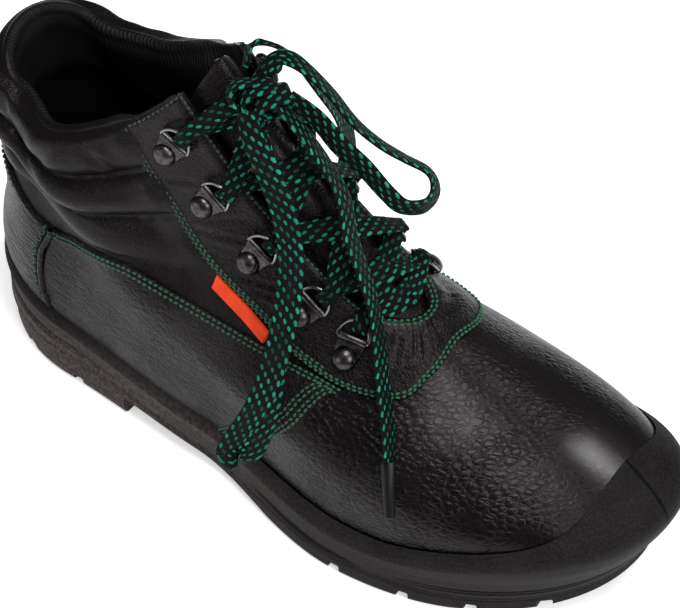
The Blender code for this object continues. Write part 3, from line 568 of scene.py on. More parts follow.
def tipPlastic(name):
    made, shader, wire = newMaterial(name, Specular_IOR_Level=0.2, Coat_Roughness=0.2)
    spots = wire.objectSpots()
    cloud = noise(wire, spots, 300.0)
    feed(shader, Base_Color=cloud.blend((0.0016, 0.0016, 0.0018, 1), (0.0035, 0.0035, 0.004, 1)),
         Roughness=0.34 + 0.1 * cloud, Coat_Weight=0.05 + 0.1 * cloud,
         Normal=bump(wire, cloud, 0.2, 0.2 * mm))
    return made


# size and depth of the grain in mm, then its roughness
vampLeather = leather("vampLeather", 2.2, 0.36, 0.28, lengthen=1.6, turned=-39.0, toe=True)
panelLeather = leather("panelLeather", 1.7, 0.3, 0.37, wrinkle=1.3, stretch=(1.1, 1.1, 2.4))
collarLeather = leather("collarLeather", 1.3, 0.16, 0.36, wrinkle=0.4, stretch=(1.3, 1.3, 0.8))
facingLeather = leather("facingLeather", 1.6, 0.26, 0.32, wrinkle=0.7, stretch=(1.2, 0.8, 1.2))
counterLeather = leather("counterLeather", 1.5, 0.4, 0.34, wrinkle=1.4, stretch=(0.55, 0.55, 3.0))
rimGathered = rimLeather("rimGathered")
lining = liningCloth("lining")
soleRubber = moulded("soleRubber", parted=True)
treadRubber = moulded("treadRubber")
clipMetal = gunmetal("clipMetal", (0.034, 0.031, 0.031, 1), (0.08, 0.073, 0.072, 1))
wireMetal = gunmetal("wireMetal", (0.17, 0.165, 0.165, 1), (0.3, 0.29, 0.285, 1))
laceBraid = braid("laceBraid")
redTab = wovenTab("redTab")
greenThread = thread("greenThread", (0.022, 0.075, 0.040, 1), (0.022, 0.034, 0.025, 1),
                     (0.018, 0.095, 0.046, 1))
blackThread = thread("blackThread", (0.004, 0.004, 0.004, 1), (0.006, 0.006, 0.006, 1),
                     (0.005, 0.005, 0.005, 1))
tipDark = tipPlastic("tipDark")
print("materials ready")

# creases and folds, placed by level and turn: from, to, depth and width in mm
creases = [
    (8.8, -0.47, 8.12, -0.40, 1.1, 2.6),
    (8.75, -0.25, 8.25, -0.28, 0.7, 2.4),
    (7.85, -0.33, 7.35, -0.40, 0.6, 2.4),
    (8.6, -0.54, 8.1, -0.57, 0.9, 2.2),
    (7.05, -0.50, 6.7, -0.60, 0.6, 3.0),
    (8.8, 0.40, 8.2, 0.34, 0.8, 2.6),
    (8.7, 0.55, 7.3, 0.60, 0.8, 3.0),
    (7.8, 0.28, 7.3, 0.36, 0.6, 2.4),
    (5.05, 0.93, 4.75, 0.86, 0.5, 1.6),
    (5.0, -0.93, 4.65, -0.88, 0.5, 1.6),
    (5.05, -0.985, 4.72, -0.965, 0.45, 1.4),
    (6.75, -0.66, 6.5, -0.76, 0.8, 1.1),
    (5.95, -0.68, 5.7, -0.78, 0.8, 1.1),
    (7.75, -0.65, 7.5, -0.75, 0.8, 1.1),
    (6.95, -0.67, 6.85, -0.77, 0.7, 1.0),
    (5.75, -0.69, 5.5, -0.75, 0.7, 1.0),
]


def creaseDepth(points):  # a trough along each crease with a low ridge on either side
    total = np.zeros(points.shape[:-1])
    for levelA, turnA, levelB, turnB, depth, width in creases:
        a, b = onLast(levelA, turnA), onLast(levelB, turnB)
        run = b - a
        share = np.clip(((points - a) @ run) / (run @ run), 0, 1)
        away = np.linalg.norm(points - (a + share[..., None] * run), axis=-1) / mm
        fade = np.sin(np.pi * np.clip(share, 0.04, 0.96)) ** 0.6
        total -= depth * fade * (bell(away, 0, width) - 0.45 * bell(away, 2 * width, width))
    return total


# upper: one shell, leather outside, lining inside
upperLook = {
    "columns": 380,
    "rows": 240,
    "rimRows": 12,
    "wall": 2.2,
    "padding": 5.0,
    "padFrom": 5.6,
    "padEdge": 0.61,
    "padFade": 0.07,
    "throatLevel": 5.06,
    "throatHalf": 14.3,
    "rolls": ((5.9, 7.0, 2.6), (7.0, 8.0, 6.0), (8.0, 9.15, 5.8)),
    "rollPower": 0.6,
    "atHeel": 0.55,
    "heelTo": 0.3,
    "pucker": 0.1,
    "puckers": 29,
    "puckerDrift": (2.2, 23),  # how far they wander, and how often
    "puckerBand": 0.16,
    "padRise": 1.4,
    "footRise": 0.25,
    "rimThin": 0.25,
    "rimArc": 0.55,
    "rimDepth": 14,
    "collarFrom": 4.4,
    "collarTurn": 0.72,
}


def padFade(turn):
    return 1 - ease((np.abs(turn) - upperLook["padEdge"]) / upperLook["padFade"])


def rollSwell(level, turn):  # pillows between sewn valleys, gathered a little beside each seam
    look = upperLook
    drift, often = look["puckerDrift"]
    gather = np.sin(turn * 2 * np.pi * look["puckers"] + drift * np.sin(turn * often))
    swell = np.zeros(np.broadcast(level, turn).shape)
    for low, high, rise in look["rolls"]:
        f = np.clip((level - low) / (high - low), 0, 1)
        inside = (level > low) & (level <= high)
        swell += np.where(inside, rise * np.clip(1 - np.abs(2 * f - 1) ** 2, 0, 1) ** look["rollPower"], 0)
        swell += look["pucker"] * (gather * bell(level, low, look["puckerBand"]))
    return swell * padFade(turn) * mix(look["atHeel"], 1.0, ease(np.abs(turn) / look["heelTo"]))


def throatTurn(level, side):
    run = np.linalg.norm(onLast(level, 1.0) - onLast(upperLook["throatLevel"], 1.0), axis=-1) / mm
    back = 1 - np.clip(run / upperLook["throatHalf"], 0, 1)
    half = upperLook["throatHalf"] * np.sqrt(1 - back**2)
    opened = level > upperLook["throatLevel"]
    return np.where(opened, np.abs(turnAt(level, np.where(opened, half, 0), side)), 1.0)


def layUpper(u, v):
    look = upperLook
    count = u.shape[0]
    outer = (count - look["rimRows"]) // 2
    levels = topLevel * np.linspace(0, 1, outer) ** 0.97
    row = np.arange(count)
    inside = row >= count - outer
    level = levels[np.clip(np.where(inside, count - 1 - row, row), 0, outer - 1)]
    level = np.where((row >= outer) & ~inside, topLevel, level)[:, None] + 0 * u
    turn = 2 * u - 1
    side = np.where(turn < 0, -1.0, 1.0)
    share = np.abs(turn)
    edge = np.where(turn < 0, throatTurn(level[:, :1], -1.0), throatTurn(level[:, :1], 1.0))
    turn = side * share * (1 - (1 - edge) * share**5)
    slot = np.where(level > look["throatLevel"], np.clip((edge - np.abs(turn)) / 0.02, 0, 1), 1.0)
    pad = look["padding"] * ease((level - look["padFrom"]) / look["padRise"]) * padFade(turn)
    wall = (look["wall"] + pad) * slot * ease(level / look["footRise"])
    wall *= 1 - look["rimThin"] * ease((level - topLevel + 0.5) / 0.5)
    bow = np.clip((row - outer + 1) / (look["rimRows"] + 1), 0, 1)[:, None]
    out = rollSwell(level, turn) * (bow == 0) - wall * (1 - np.cos(np.pi * bow)) / 2
    points = onLast(level, turn)
    out = out + creaseDepth(points) * (bow == 0) * slot
    lift = unit(upAt(level, turn))
    arc = look["rimArc"] * wall * np.sin(np.pi * bow)
    return points + (normalAt(level, turn) * out[..., None] + lift * arc[..., None]) * mm


def makeUpper():
    piece, spots, order = wrapGrid("upperShell", upperLook["columns"], upperLook["rows"], layUpper)
    half = spots.shape[0] // 2
    polygons = np.empty(len(piece.data.polygons), int)
    vertex = np.empty(len(piece.data.loops), int)
    piece.data.loops.foreach_get("vertex_index", vertex)
    piece.data.polygons.foreach_get("loop_start", polygons)
    row = order[0][vertex[polygons]]
    turn = np.abs(2 * order[1][vertex[polygons]] / (spots.shape[1] - 1) - 1)
    collar = (row > half * upperLook["collarFrom"] / 9.3) & (turn < upperLook["collarTurn"])
    skins = np.where(row > half - 2, 2, np.where(collar, 1, 0))
    skins = np.where(row > half + upperLook["rimDepth"], 3, skins)
    for skinLeather in (vampLeather, collarLeather, rimGathered, lining):
        piece.data.materials.append(skinLeather)
    piece.data.polygons.foreach_set("material_index", skins.astype(int))
    weld(piece, 2e-5)
    smooth(piece)
    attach(piece, "root")
    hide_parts("upper")


makeUpper()
print("upper laid")


# panels laid on the upper, with a turned edge
def layPanel(name, node, lie, material, grid, seat, thick, roundEdge, slotName="leather", folds=True,
             gather=None):
    kept = {}

    def place(u, v):
        level, turn = lie(u, v)
        points = onLast(level, turn)
        sideRun = runAlong(points)
        endRun = np.swapaxes(runAlong(np.swapaxes(points, 0, 1)), 0, 1)
        fromSides = np.minimum(sideRun, sideRun[:, -1:] - sideRun)
        near = np.minimum(fromSides, np.minimum(endRun, endRun[-1:] - endRun))
        rise = seat + thick * np.sqrt(1 - (1 - np.clip(near / roundEdge, 0, 1)) ** 2)
        if folds:
            rise = rise + creaseDepth(points)
        if gather:
            rise = rise + gather(u, v) * np.clip(near / 2.0, 0, 1)
        normal = normalAt(level, turn)
        kept.update(top=points + normal * rise[..., None] * mm, normal=normal)
        return kept["top"]

    piece, _, _ = wrapGrid(name, *grid, place)
    weld(piece)
    useModifier(piece, "SOLIDIFY", thickness=0.5 * mm, offset=-1.0)
    smooth(piece, 60)
    finishPiece(piece, material, slotName, node)
    return kept


# row by row from the collar round the throat: levelIn halfIn levelOut halfOut
eyestayRows = [
    (9.0, 13.3, 8.98, 24.0),
    (8.2, 13.3, 8.2, 23.5),
    (7.15, 13.3, 7.15, 24.0),
    (6.2, 13.3, 6.15, 26.5),
    (5.66, 13.3, 5.25, 29.0),
    (5.42, 12.7, 4.55, 32.5),
    (5.26, 10.0, 4.14, 33.0),
    (5.17, 6.0, 4.08, 27.5),
    (5.135, 3.0, 4.4, 16.0),
    (5.125, 0.0, 4.66, 0.0),
]


eyestayLook = {
    "front": (0.2, 0.22),
    "puckers": 58,
    "puckerDrift": (0.5, 23),
    "puckerSlant": 2.2,
    "puckerBand": (0.36, 0.2),
    "puckerRise": (0.07, 0.14),  # along the sides and at the front
    "weltBand": (0.14, 0.11),
    "weltRise": 0.9,
    "crown": (0.5, 1.2),
}


def lieEyestay(u, v):  # both sides in one run, so that the front is one smooth curve
    outer = np.array(eyestayRows) * (1, -1, 1, -1)
    rows = np.concatenate([outer, np.array(eyestayRows)[-2::-1]])
    band = curveThrough(rows, (len(rows) - 1) * v)
    level = mix(band[..., 0], band[..., 2], u)
    across = mix(band[..., 1], band[..., 3], u)
    return level, turnAt(level, np.abs(across), np.where(across < 0, -1.0, 1.0))


def eyestayGather(u, v):  # puckers drawn in from the throat, stronger at its front, and a raised welt
    look = eyestayLook
    start, fade = look["front"]
    drift, often = look["puckerDrift"]
    front = 1 - ease((np.abs(2 * v - 1) - start) / fade)
    wave = np.sin(2 * np.pi * (look["puckers"] * v + drift * np.sin(often * v)) + look["puckerSlant"] * u)
    crown = mix(*look["crown"], front) * np.sin(np.pi * u) ** 2
    welt = look["weltRise"] * bell(u, *look["weltBand"]) + crown
    return wave * bell(u, *look["puckerBand"]) * mix(*look["puckerRise"], front) + welt


def eyestayTurn(level, side):  # its outer edge at a level
    low, _ = halve(np.zeros(np.shape(level)), np.full(np.shape(level), 6.0),
                   lambda at: curveThrough(eyestayRows, at)[..., 2] > level, 24)
    return np.abs(turnAt(level, curveThrough(eyestayRows, low)[..., 3], side))


soleLook = {
    "lipLevel": 0.75,
    "capLevel": 2.65,
    "capFrom": 0.65,
    "lipEdge": 0.7,
    "capThick": 4.4,
    "heelMargin": 5.4,
    "sideMargin": 5.0,
    "toeMargin": 6.4,
    "heelJoint": 14.0,
    "ballJoint": 7.5,
    "springFrom": 232.0,
    "toeSpring": 12.0,
    "heelBreast": 88.0,
    "shankRise": 10.0,
    "shankEnd": 178.0,
    "columns": 360,
    "hookEnd": 0.1,  # shares of the sweep: the lip's hook, then the lip, then the side wall
    "wallFrom": 0.55,
    "lipFoot": 0.34,
    "heelEnd": 84,
    "heelFade": 66,
    "sideGroove": (0.55, 0.035),  # share of the wall's height, and width
    "sideRibs": ((0.36, 0.03), (0.52, 0.03)),
    "grooveDeep": 1.1,
    "shelf": 0.8,
    "lensAt": -0.585,
    "lensHalf": (0.055, 0.17),
    "lensMiddle": 0.4,
    "lensSlope": 1.2,
    "lensDeep": 0.9,
    "wallEdge": 0.5,
    "grooves": (33, 61, 198, 226, 250, 272),
    "grooveSize": (5.0, 34, 9),
    "grooveIn": 6,
    "grooveTurn": 10,
}


def capShare(turn):
    return ease(np.clip((np.abs(turn) - soleLook["capFrom"]) / (1 - soleLook["capFrom"]), 0, 1) ** 0.8)


def lipLevel(turn):
    return mix(soleLook["lipLevel"], soleLook["capLevel"], capShare(turn))


quarterTop = np.array([  # turn and level along the upper edge of the side panel
    (0.302, 4.4), (0.37, 5.1), (0.43, 5.6), (0.49, 5.7), (0.545, 5.3), (0.6, 4.88), (0.64, 4.62),
    (0.68, 4.36), (0.715, 4.12)])
panelLook = {
    "quarterFoot": 0.488,
    "counterEdge": 0.288,
    "counterTop": 5.7,
    "counterBow": ((0, 0.262), (0.3, 0.245), (0.6, 0.249), (0.85, 0.272), (1, 0.288)),
    "tuck": 0.2,  # how far the panels go under the lip
    "tabLow": 4.8,
    "tabHigh": 5.76,
    "tabSlant": 0.3,
    "tabWide": 0.027,
    "tabGap": 0.009,
}
# grid, then seat, thickness and rounded edge in mm
quarterCut = {"grid": (150, 110), "seat": 0.1, "thick": 1.5, "roundEdge": 1.3}
counterCut = {"grid": (150, 100), "seat": 0.1, "thick": 1.7, "roundEdge": 1.6}
eyestayCut = {"grid": (60, 420), "seat": 0.15, "thick": 2.0, "roundEdge": 1.5}
tabCut = {"grid": (20, 60), "seat": 0.9, "thick": 1.6, "roundEdge": 0.7}


def curveAt(table, q):  # the second column of a table at a value of its first
    table = np.array(table)
    at = np.interp(q, table[:, 0], np.arange(len(table)))
    return curveThrough(table[:, 1:], at)[..., 0]


def counterEdge(v):
    return curveAt(panelLook["counterBow"], v)


def lieQuarter(side):
    def lie(u, v):
        front = np.minimum(mix(panelLook["quarterFoot"], quarterTop[-1, 0], v**1.35),
                           eyestayTurn(mix(1, quarterTop[-1, 1], v), side) - 0.006)
        rear = counterEdge(v) + quarterTop[0, 0] - panelLook["counterEdge"] - 0.008
        turn = mix(rear, front, u)
        return mix(lipLevel(turn) - panelLook["tuck"], curveAt(quarterTop, turn), v), side * turn

    return lie


def lieCounter(u, v):
    turn = (2 * u - 1) * counterEdge(v)
    top = panelLook["counterTop"] - 1.4 * ease((np.abs(turn) - 0.16) / (panelLook["counterEdge"] - 0.16))
    return mix(lipLevel(turn) - panelLook["tuck"], top, v), turn


def lieTab(u, v):
    middle = mix(panelLook["tabLow"], panelLook["tabHigh"], v)
    front = eyestayTurn(middle, -1.0) - panelLook["tabGap"]
    return middle + panelLook["tabSlant"] * (u - 0.5), -mix(front - panelLook["tabWide"], front, u)


panels = {
    "quarterOuter": layPanel("quarterOuter", "quarter_outer", lieQuarter(-1.0), panelLeather, **quarterCut),
    "quarterInner": layPanel("quarterInner", "quarter_inner", lieQuarter(1.0), panelLeather, **quarterCut),
    "counter": layPanel("heelCounter", "heel_counter", lieCounter, counterLeather, **counterCut),
    "eyestay": layPanel("eyestayFacing", "eyestay", lieEyestay, facingLeather, gather=eyestayGather,
                        **eyestayCut),
}
layPanel("sideTab", "side_tab", lieTab, redTab, slotName="red_tab", folds=False, **tabCut)
print("panels laid")


# sole: lip, bumper and side wall in one sweep from the lip down to the joint
def margin(turn):
    heel = 1 - ease(np.abs(turn) / 0.35)
    toe = ease((np.abs(turn) - 0.7) / 0.3)
    look = soleLook
    side = look["sideMargin"]
    return side + (look["heelMargin"] - side) * heel + (look["toeMargin"] - side) * toe


def outwards(turn):
    return unit(normalAt(0.0 * turn, turn) * np.array([1, 1, 0]))


def besideFeather(turn, out):
    return onLast(0.0 * turn, turn) + outwards(turn) * np.asarray(out)[..., None] * mm


def stationOf(points):
    return points[..., 0] / mm - last["placeX"]


def treadZ(x):
    rise = np.clip(x - soleLook["springFrom"], 0, None) / (last["length"] - soleLook["springFrom"])
    return soleLook["toeSpring"] * rise**1.6 * mm


def jointZ(x):
    heel = 1 - ease((x - soleLook["heelEnd"]) / soleLook["heelFade"])
    return mix(soleLook["ballJoint"], soleLook["heelJoint"], heel) * mm + 0.75 * treadZ(x)


def sideRelief(turn, height):  # height 0 at the joint, 1 under the lip; mm outward
    look = soleLook
    side = np.abs(turn)
    heel = 1 - ease((side - 0.24) / 0.16)
    toe = ease((side - 0.66) / 0.12)
    groove = -look["grooveDeep"] * bell(height, *look["sideGroove"]) * heel
    shelf = look["shelf"] * ease((0.5 - height) / 0.1) * heel
    ribs = -toe * look["grooveDeep"] * sum(bell(height, *rib) for rib in look["sideRibs"])
    ahead = turn - look["lensAt"]
    above = height - look["lensMiddle"] - look["lensSlope"] * ahead
    halfLong, halfHigh = look["lensHalf"]
    lens = -look["lensDeep"] * ease(1.6 - (ahead / halfLong) ** 2 - (above / halfHigh) ** 2)
    edge = look["wallEdge"] * bell(height, 0.06, 0.06)
    return groove + shelf + ribs + lens + edge


def layMidsole(u, v):
    look = soleLook
    turn = 2 * u - 1
    cap = capShare(turn)
    body = mix(margin(turn), look["capThick"], cap)
    lip = lipLevel(turn)
    hookEnd, wallFrom = look["hookEnd"], look["wallFrom"]
    down = np.clip((v - hookEnd) / (wallFrom - hookEnd), 0, 1)
    hook = np.clip(v / hookEnd, 0, 1)
    keep = 1 - (1 - np.clip(down / 0.55, 0, 1)) ** mix(1.5, 1.8, cap)
    level = lip * mix(1.0, look["lipFoot"], down) - 0.25 * (1 - hook)
    out = mix(look["lipEdge"], body, keep)
    out = np.where(v < hookEnd, mix(0.05, look["lipEdge"], np.sqrt(hook)), out)
    points = skin(level, turn, out)
    high = skin(lip * look["lipFoot"], turn, body)
    low = besideFeather(turn, margin(turn) - 0.4)
    low[..., 2] = jointZ(stationOf(low))
    fall = np.clip((v - wallFrom) / (1 - wallFrom), 0, 1)
    wall = high + (low - high) * fall[..., None]
    wall = wall + outwards(turn) * (sideRelief(turn, 1 - fall) * ease(fall / 0.12))[..., None] * mm
    return np.where((v > wallFrom)[..., None], wall, points)


def closeAcross(piece):  # ladder faces over the first and last ring of a sweep
    build = bmesh.new()
    build.from_mesh(piece.data)
    bmesh.ops.remove_doubles(build, verts=build.verts, dist=1e-6)
    loose = dict.fromkeys(e for e in build.edges if e.is_boundary)
    while loose:
        start = next(iter(loose))
        del loose[start]
        chain = [start.verts[0], start.verts[1]]
        while chain[-1] is not chain[0]:
            step = next(e for e in chain[-1].link_edges if e in loose)
            del loose[step]
            chain.append(step.other_vert(chain[-1]))
        chain.pop()
        front = max(range(len(chain)), key=lambda k: chain[k].co.x)
        chain = chain[front:] + chain[:front]
        size = len(chain)
        for i in range(size // 2):
            corners = list(dict.fromkeys(chain[k % size] for k in (i, i + 1, size - i - 1, size - i)))
            if len(corners) > 2 and not build.faces.get(corners):
                build.faces.new(corners)
    bmesh.ops.recalc_face_normals(build, faces=build.faces)
    build.to_mesh(piece.data)
    build.free()


def makeMidsole():
    piece, _, _ = wrapGrid("midsoleBody", soleLook["columns"], 110, layMidsole)
    weld(piece)
    closeAcross(piece)
    smooth(piece, 50)
    finishPiece(piece, soleRubber, "sole_rubber", "midsole")


def layOutsole(u, v):
    turn = 2 * u - 1
    stops = (0, 0.12, 0.2, 0.75, 0.9, 1.0)
    inset = np.interp(v, stops, (5.0, 1.0, 0.2, 0.0, 0.5, 2.2))
    share = np.interp(v, stops, (1.0, 1.0, 0.93, 0.3, 0.1, 0.0))
    points = besideFeather(turn, margin(turn) - inset)
    x = stationOf(points)
    points[..., 2] = mix(treadZ(x), jointZ(x) - 0.05 * mm, share)
    return points


def cutWith(piece, cutter):
    useModifier(piece, "BOOLEAN", operation="DIFFERENCE", solver="EXACT", object=cutter)
    bpy.data.objects.remove(cutter, do_unlink=True)


def makeOutsole():
    look = soleLook
    piece, _, _ = wrapGrid("outsoleTread", 240, 26, layOutsole)
    weld(piece)
    closeAcross(piece)
    # shank: a block whose top is drawn out in steps along the arch
    deselectAll()
    bpy.ops.mesh.primitive_cube_add(size=1, location=(0, 0, 0))
    arch = bpy.context.object
    arch.scale = (1, 160 * mm, 1)
    bpy.ops.object.transform_apply(location=False, rotation=False, scale=True)
    editAll(arch)
    bpy.ops.mesh.subdivide(number_cuts=11)
    leaveEdit()
    for vertex in arch.data.vertices:
        q = vertex.co.x + 0.5
        rise = look["shankRise"] * (1 - q**1.6)
        vertex.co.x = (mix(look["heelBreast"], look["shankEnd"], q) + last["placeX"]) * mm
        vertex.co.z = mix(-4.0, rise, vertex.co.z + 0.5) * mm
    cutWith(piece, arch)
    feather = lastRows[0]
    for x in look["grooves"]:
        share = np.array((x - feather[0]) / (feather[3] - feather[0]))
        for side in (-1, 1):
            reach = float(halfWidth(feather, np.array(side > 0), share)) - look["grooveIn"]
            place = placed(x, swingAt(x) + side * reach, 0.0)
            place[2] = treadZ(np.array(x))
            deselectAll()
            bpy.ops.mesh.primitive_cube_add(
                size=1, rotation=(0, 0, math.radians(-look["grooveTurn"] * side)), location=tuple(place))
            groove = bpy.context.object
            groove.scale = Vector(look["grooveSize"]) * mm
            bpy.ops.object.transform_apply(location=True, rotation=True, scale=True)
            useModifier(groove, "BEVEL", width=0.8 * mm, segments=2)
            cutWith(piece, groove)
    smooth(piece, 40)
    finishPiece(piece, treadRubber, "sole_rubber", "outsole")


makeMidsole()
makeOutsole()
print("sole made")

# tongue, label and footbed
tongueLook = {
    "low": 4.75,
    "high": 9.0,
    "halfLow": 14.0,
    "halfHigh": 18.4,
    "under": -3.0,
    "thick": 4.2,
    "crown": 1.4,
    "tipFrom": 0.8,
    "tipNarrow": 0.88,
    "sink": 1.2,
    "ripple": 0.3,
    "ripples": 46,
    "labelLevels": (7.25, 7.75),
    "labelAcross": (-12.5, -9),
    "labelOut": 1.6,
}


def layTongue(u, v):
    look = tongueLook
    level = mix(look["low"], look["high"], v)
    tip = np.clip((v - look["tipFrom"]) / (1 - look["tipFrom"]), 0, 1)
    half = mix(look["halfLow"], look["halfHigh"], ease(v * 2)) * (1 - look["tipNarrow"] * tip**2.2) ** 0.6
    across = mix(-1, 1, u)
    out = look["under"] + look["crown"] * (1 - across**2) - look["sink"] * ease((v - 0.6) / 0.3)
    ripple = look["ripple"] * np.sin(v * look["ripples"] + 2 * across)
    out = out + ripple * np.exp(-((across / 0.8) ** 4)) * (1 - tip)
    return fromRidge(level, across * half, out)


def layLabel(u, v):
    look = tongueLook
    out = look["under"] + look["labelOut"]
    return fromRidge(mix(*look["labelLevels"], v), mix(*look["labelAcross"], u), out)


def makeTongue():
    look = tongueLook
    piece, _, _ = wrapGrid("tonguePad", 60, 160, layTongue)
    weld(piece)
    useModifier(piece, "SOLIDIFY", thickness=look["thick"] * mm, offset=-1.0)
    useModifier(piece, "BEVEL", width=1.2 * mm, segments=3, limit_method="ANGLE",
                angle_limit=math.radians(60))
    smooth(piece)
    finishPiece(piece, facingLeather, "lining", "tongue")
    label, _, _ = wrapGrid("tongueLabel", 24, 24, layLabel)
    weld(label)
    useModifier(label, "SOLIDIFY", thickness=0.6 * mm, offset=-1.0)
    finishPiece(label, redTab, "red_tab", "tongue_label")


makeTongue()
for slot in bpy.data.objects["insole"].material_slots:
    slot.material = lining
print("tongue laid")

# rings: rivet level and half width, then the point that the ring aims at
ringRows = [
    (8.2, 20.0, 8.55, 8),
    (7.18, 20.3, 7.5, 8),
    (6.22, 21.6, 6.7, 8),
    (5.38, 23.4, 5.9, 8),
    (4.7, 25.7, 5.5, 10),
]
ringLook = {
    "seat": 2.6,
    "dome": 4.7,
    "domeRise": 3.3,
    "barAt": 7.6,
    "barHalf": 5.7,
    "curl": 1.7,
    "plate": 1.3,
    "plateWide": 8.4,
    "plateTail": 1.5,
    "plateBend": 0.9,
    "wire": 0.65,
    "wireHalf": 6.0,
    "wireDepth": 7.0,
    "bowShare": 0.68,  # of the wire's round; the rest is its straight back
    "tilt": 12.0,
}


def ringFrame(row, side):
    level, half, aimLevel, aimHalf = row
    turn = float(turnAt(level, half, side))
    seat = Vector(skin(level, turn, ringLook["seat"]))
    normal = Vector(normalAt(np.array(level), np.array(turn)))
    toward = Vector(fromRidge(aimLevel, side * aimHalf, 0.0)) - Vector(onLast(level, turn))
    toward = (toward - normal * toward.dot(normal)).normalized()
    lie = Matrix((toward, normal.cross(toward), normal)).transposed().to_4x4()
    lie.translation = seat
    return lie


def makeClip():
    look = ringLook
    barAt, tail, curl = look["barAt"], look["plateTail"], look["curl"]
    deselectAll()
    bpy.ops.mesh.primitive_cube_add(size=1, location=((barAt - tail) / 2 * mm, 0, look["plate"] / 2 * mm))
    plate = bpy.context.object
    plate.scale = ((barAt + tail) * mm, look["plateWide"] * mm, look["plate"] * mm)
    bpy.ops.object.transform_apply(location=True, rotation=True, scale=True)
    for vertex in plate.data.vertices:  # wider at the fold than at the rivet
        if vertex.co.x > 3 * mm:
            vertex.co.y *= 2 * look["barHalf"] / look["plateWide"]
            vertex.co.z += look["plateBend"] * mm
    useModifier(plate, "BEVEL", width=0.35 * mm, segments=2)
    deselectAll()
    bpy.ops.mesh.primitive_cylinder_add(
        vertices=20, radius=curl * mm, depth=2 * look["barHalf"] * mm, rotation=(math.pi / 2, 0, 0),
        location=(barAt * mm, 0, curl * mm))
    fold = bpy.context.object
    bpy.ops.object.transform_apply(location=True, rotation=True, scale=True)
    bpy.ops.object.mode_set(mode="EDIT")
    bpy.ops.mesh.select_mode(type="FACE")
    bpy.ops.mesh.select_all(action="DESELECT")
    leaveEdit()
    for face in fold.data.polygons:  # sink the two open ends of the fold
        face.select = abs(face.normal.y) > 0.9
    bpy.ops.object.mode_set(mode="EDIT")
    bpy.ops.mesh.inset(thickness=0.75 * mm, use_individual=True)
    bpy.ops.mesh.extrude_region_shrink_fatten(TRANSFORM_OT_shrink_fatten={"value": -1.2 * mm})
    leaveEdit()
    useModifier(fold, "BEVEL", width=0.2 * mm, segments=2, limit_method="ANGLE")
    deselectAll()
    bpy.ops.mesh.primitive_uv_sphere_add(segments=28, ring_count=16, radius=look["dome"] * mm,
                                         location=(0, 0, look["plate"] * mm))
    dome = bpy.context.object
    dome.scale = (1, 1, look["domeRise"] / look["dome"])
    bpy.ops.object.transform_apply(location=True, rotation=True, scale=True)
    editAll(dome)
    bpy.ops.mesh.bisect(plane_co=(0, 0, 0.2 * mm), plane_no=(0, 0, 1), clear_inner=True, use_fill=True)
    leaveEdit()
    pick(plate)
    fold.select_set(True)
    dome.select_set(True)
    bpy.ops.object.join()
    plate.name = "clipPattern"
    smooth(plate, 40)
    return plate


def makeRing():
    look = ringLook

    def place(u, v):
        share, half = look["bowShare"], look["wireHalf"]
        t = np.pi * v / share
        back = np.clip((v - share) / (1 - share), 0, 1)
        x = np.where(v <= share, look["wireDepth"] * np.sin(t), 0.0)
        y = np.where(v <= share, half * np.cos(t), mix(-half, half, back))
        line = np.stack([x, y, 0 * x], -1)
        ahead = np.gradient(line, axis=0)
        ahead /= np.linalg.norm(ahead, axis=-1, keepdims=True) + 1e-9
        aside = np.cross(ahead, [0, 0, 1])
        angle = 2 * np.pi * u[..., None]
        return (line + look["wire"] * (aside * np.cos(angle) + np.array([0, 0, 1]) * np.sin(angle))) * mm

    piece, _, _ = wrapGrid("ringPattern", 12, 72, place)
    weld(piece, 2e-5)
    tilt = Matrix.Rotation(math.radians(-look["tilt"]), 4, "Y")
    piece.data.transform(Matrix.Translation((look["barAt"] * mm, 0, look["curl"] * mm)) @ tilt)
    smooth(piece)
    return piece


def placeRings():
    patterns = {"clip": makeClip(), "ring": makeRing()}
    for side, word in ((-1, "outer"), (1, "inner")):
        for number, row in enumerate(ringRows, 1):
            lie = ringFrame(row, side)
            for kind, pattern in patterns.items():
                copy = bpy.data.objects.new("%s%s%d" % (kind, word.title(), number), pattern.data.copy())
                bpy.context.scene.collection.objects.link(copy)
                copy.data.transform(lie)
                metal = clipMetal if kind == "clip" else wireMetal
                finishPiece(copy, metal, "ring_steel", "%s_%s_%d" % (kind, word, number))
    for pattern in patterns.values():
        bpy.data.objects.remove(pattern, do_unlink=True)


placeRings()
print("rings placed")

# lace: a flat braid swept along a route, with the way its face looks at each point
laceLook = {
    "width": 9.4,
    "thick": 1.7,
    "step": 1.1,
    "around": 16,
    "flatPower": 0.55,  # a rounded box, flatter along its width
    "fullPower": 0.8,
    "inRing": 6.2,
    "toFront": 1.4,
    "atEnds": 0.75,
    "knotWidth": 8.6,
}


def boxed(q, power):
    return np.sign(q) * np.abs(q) ** power


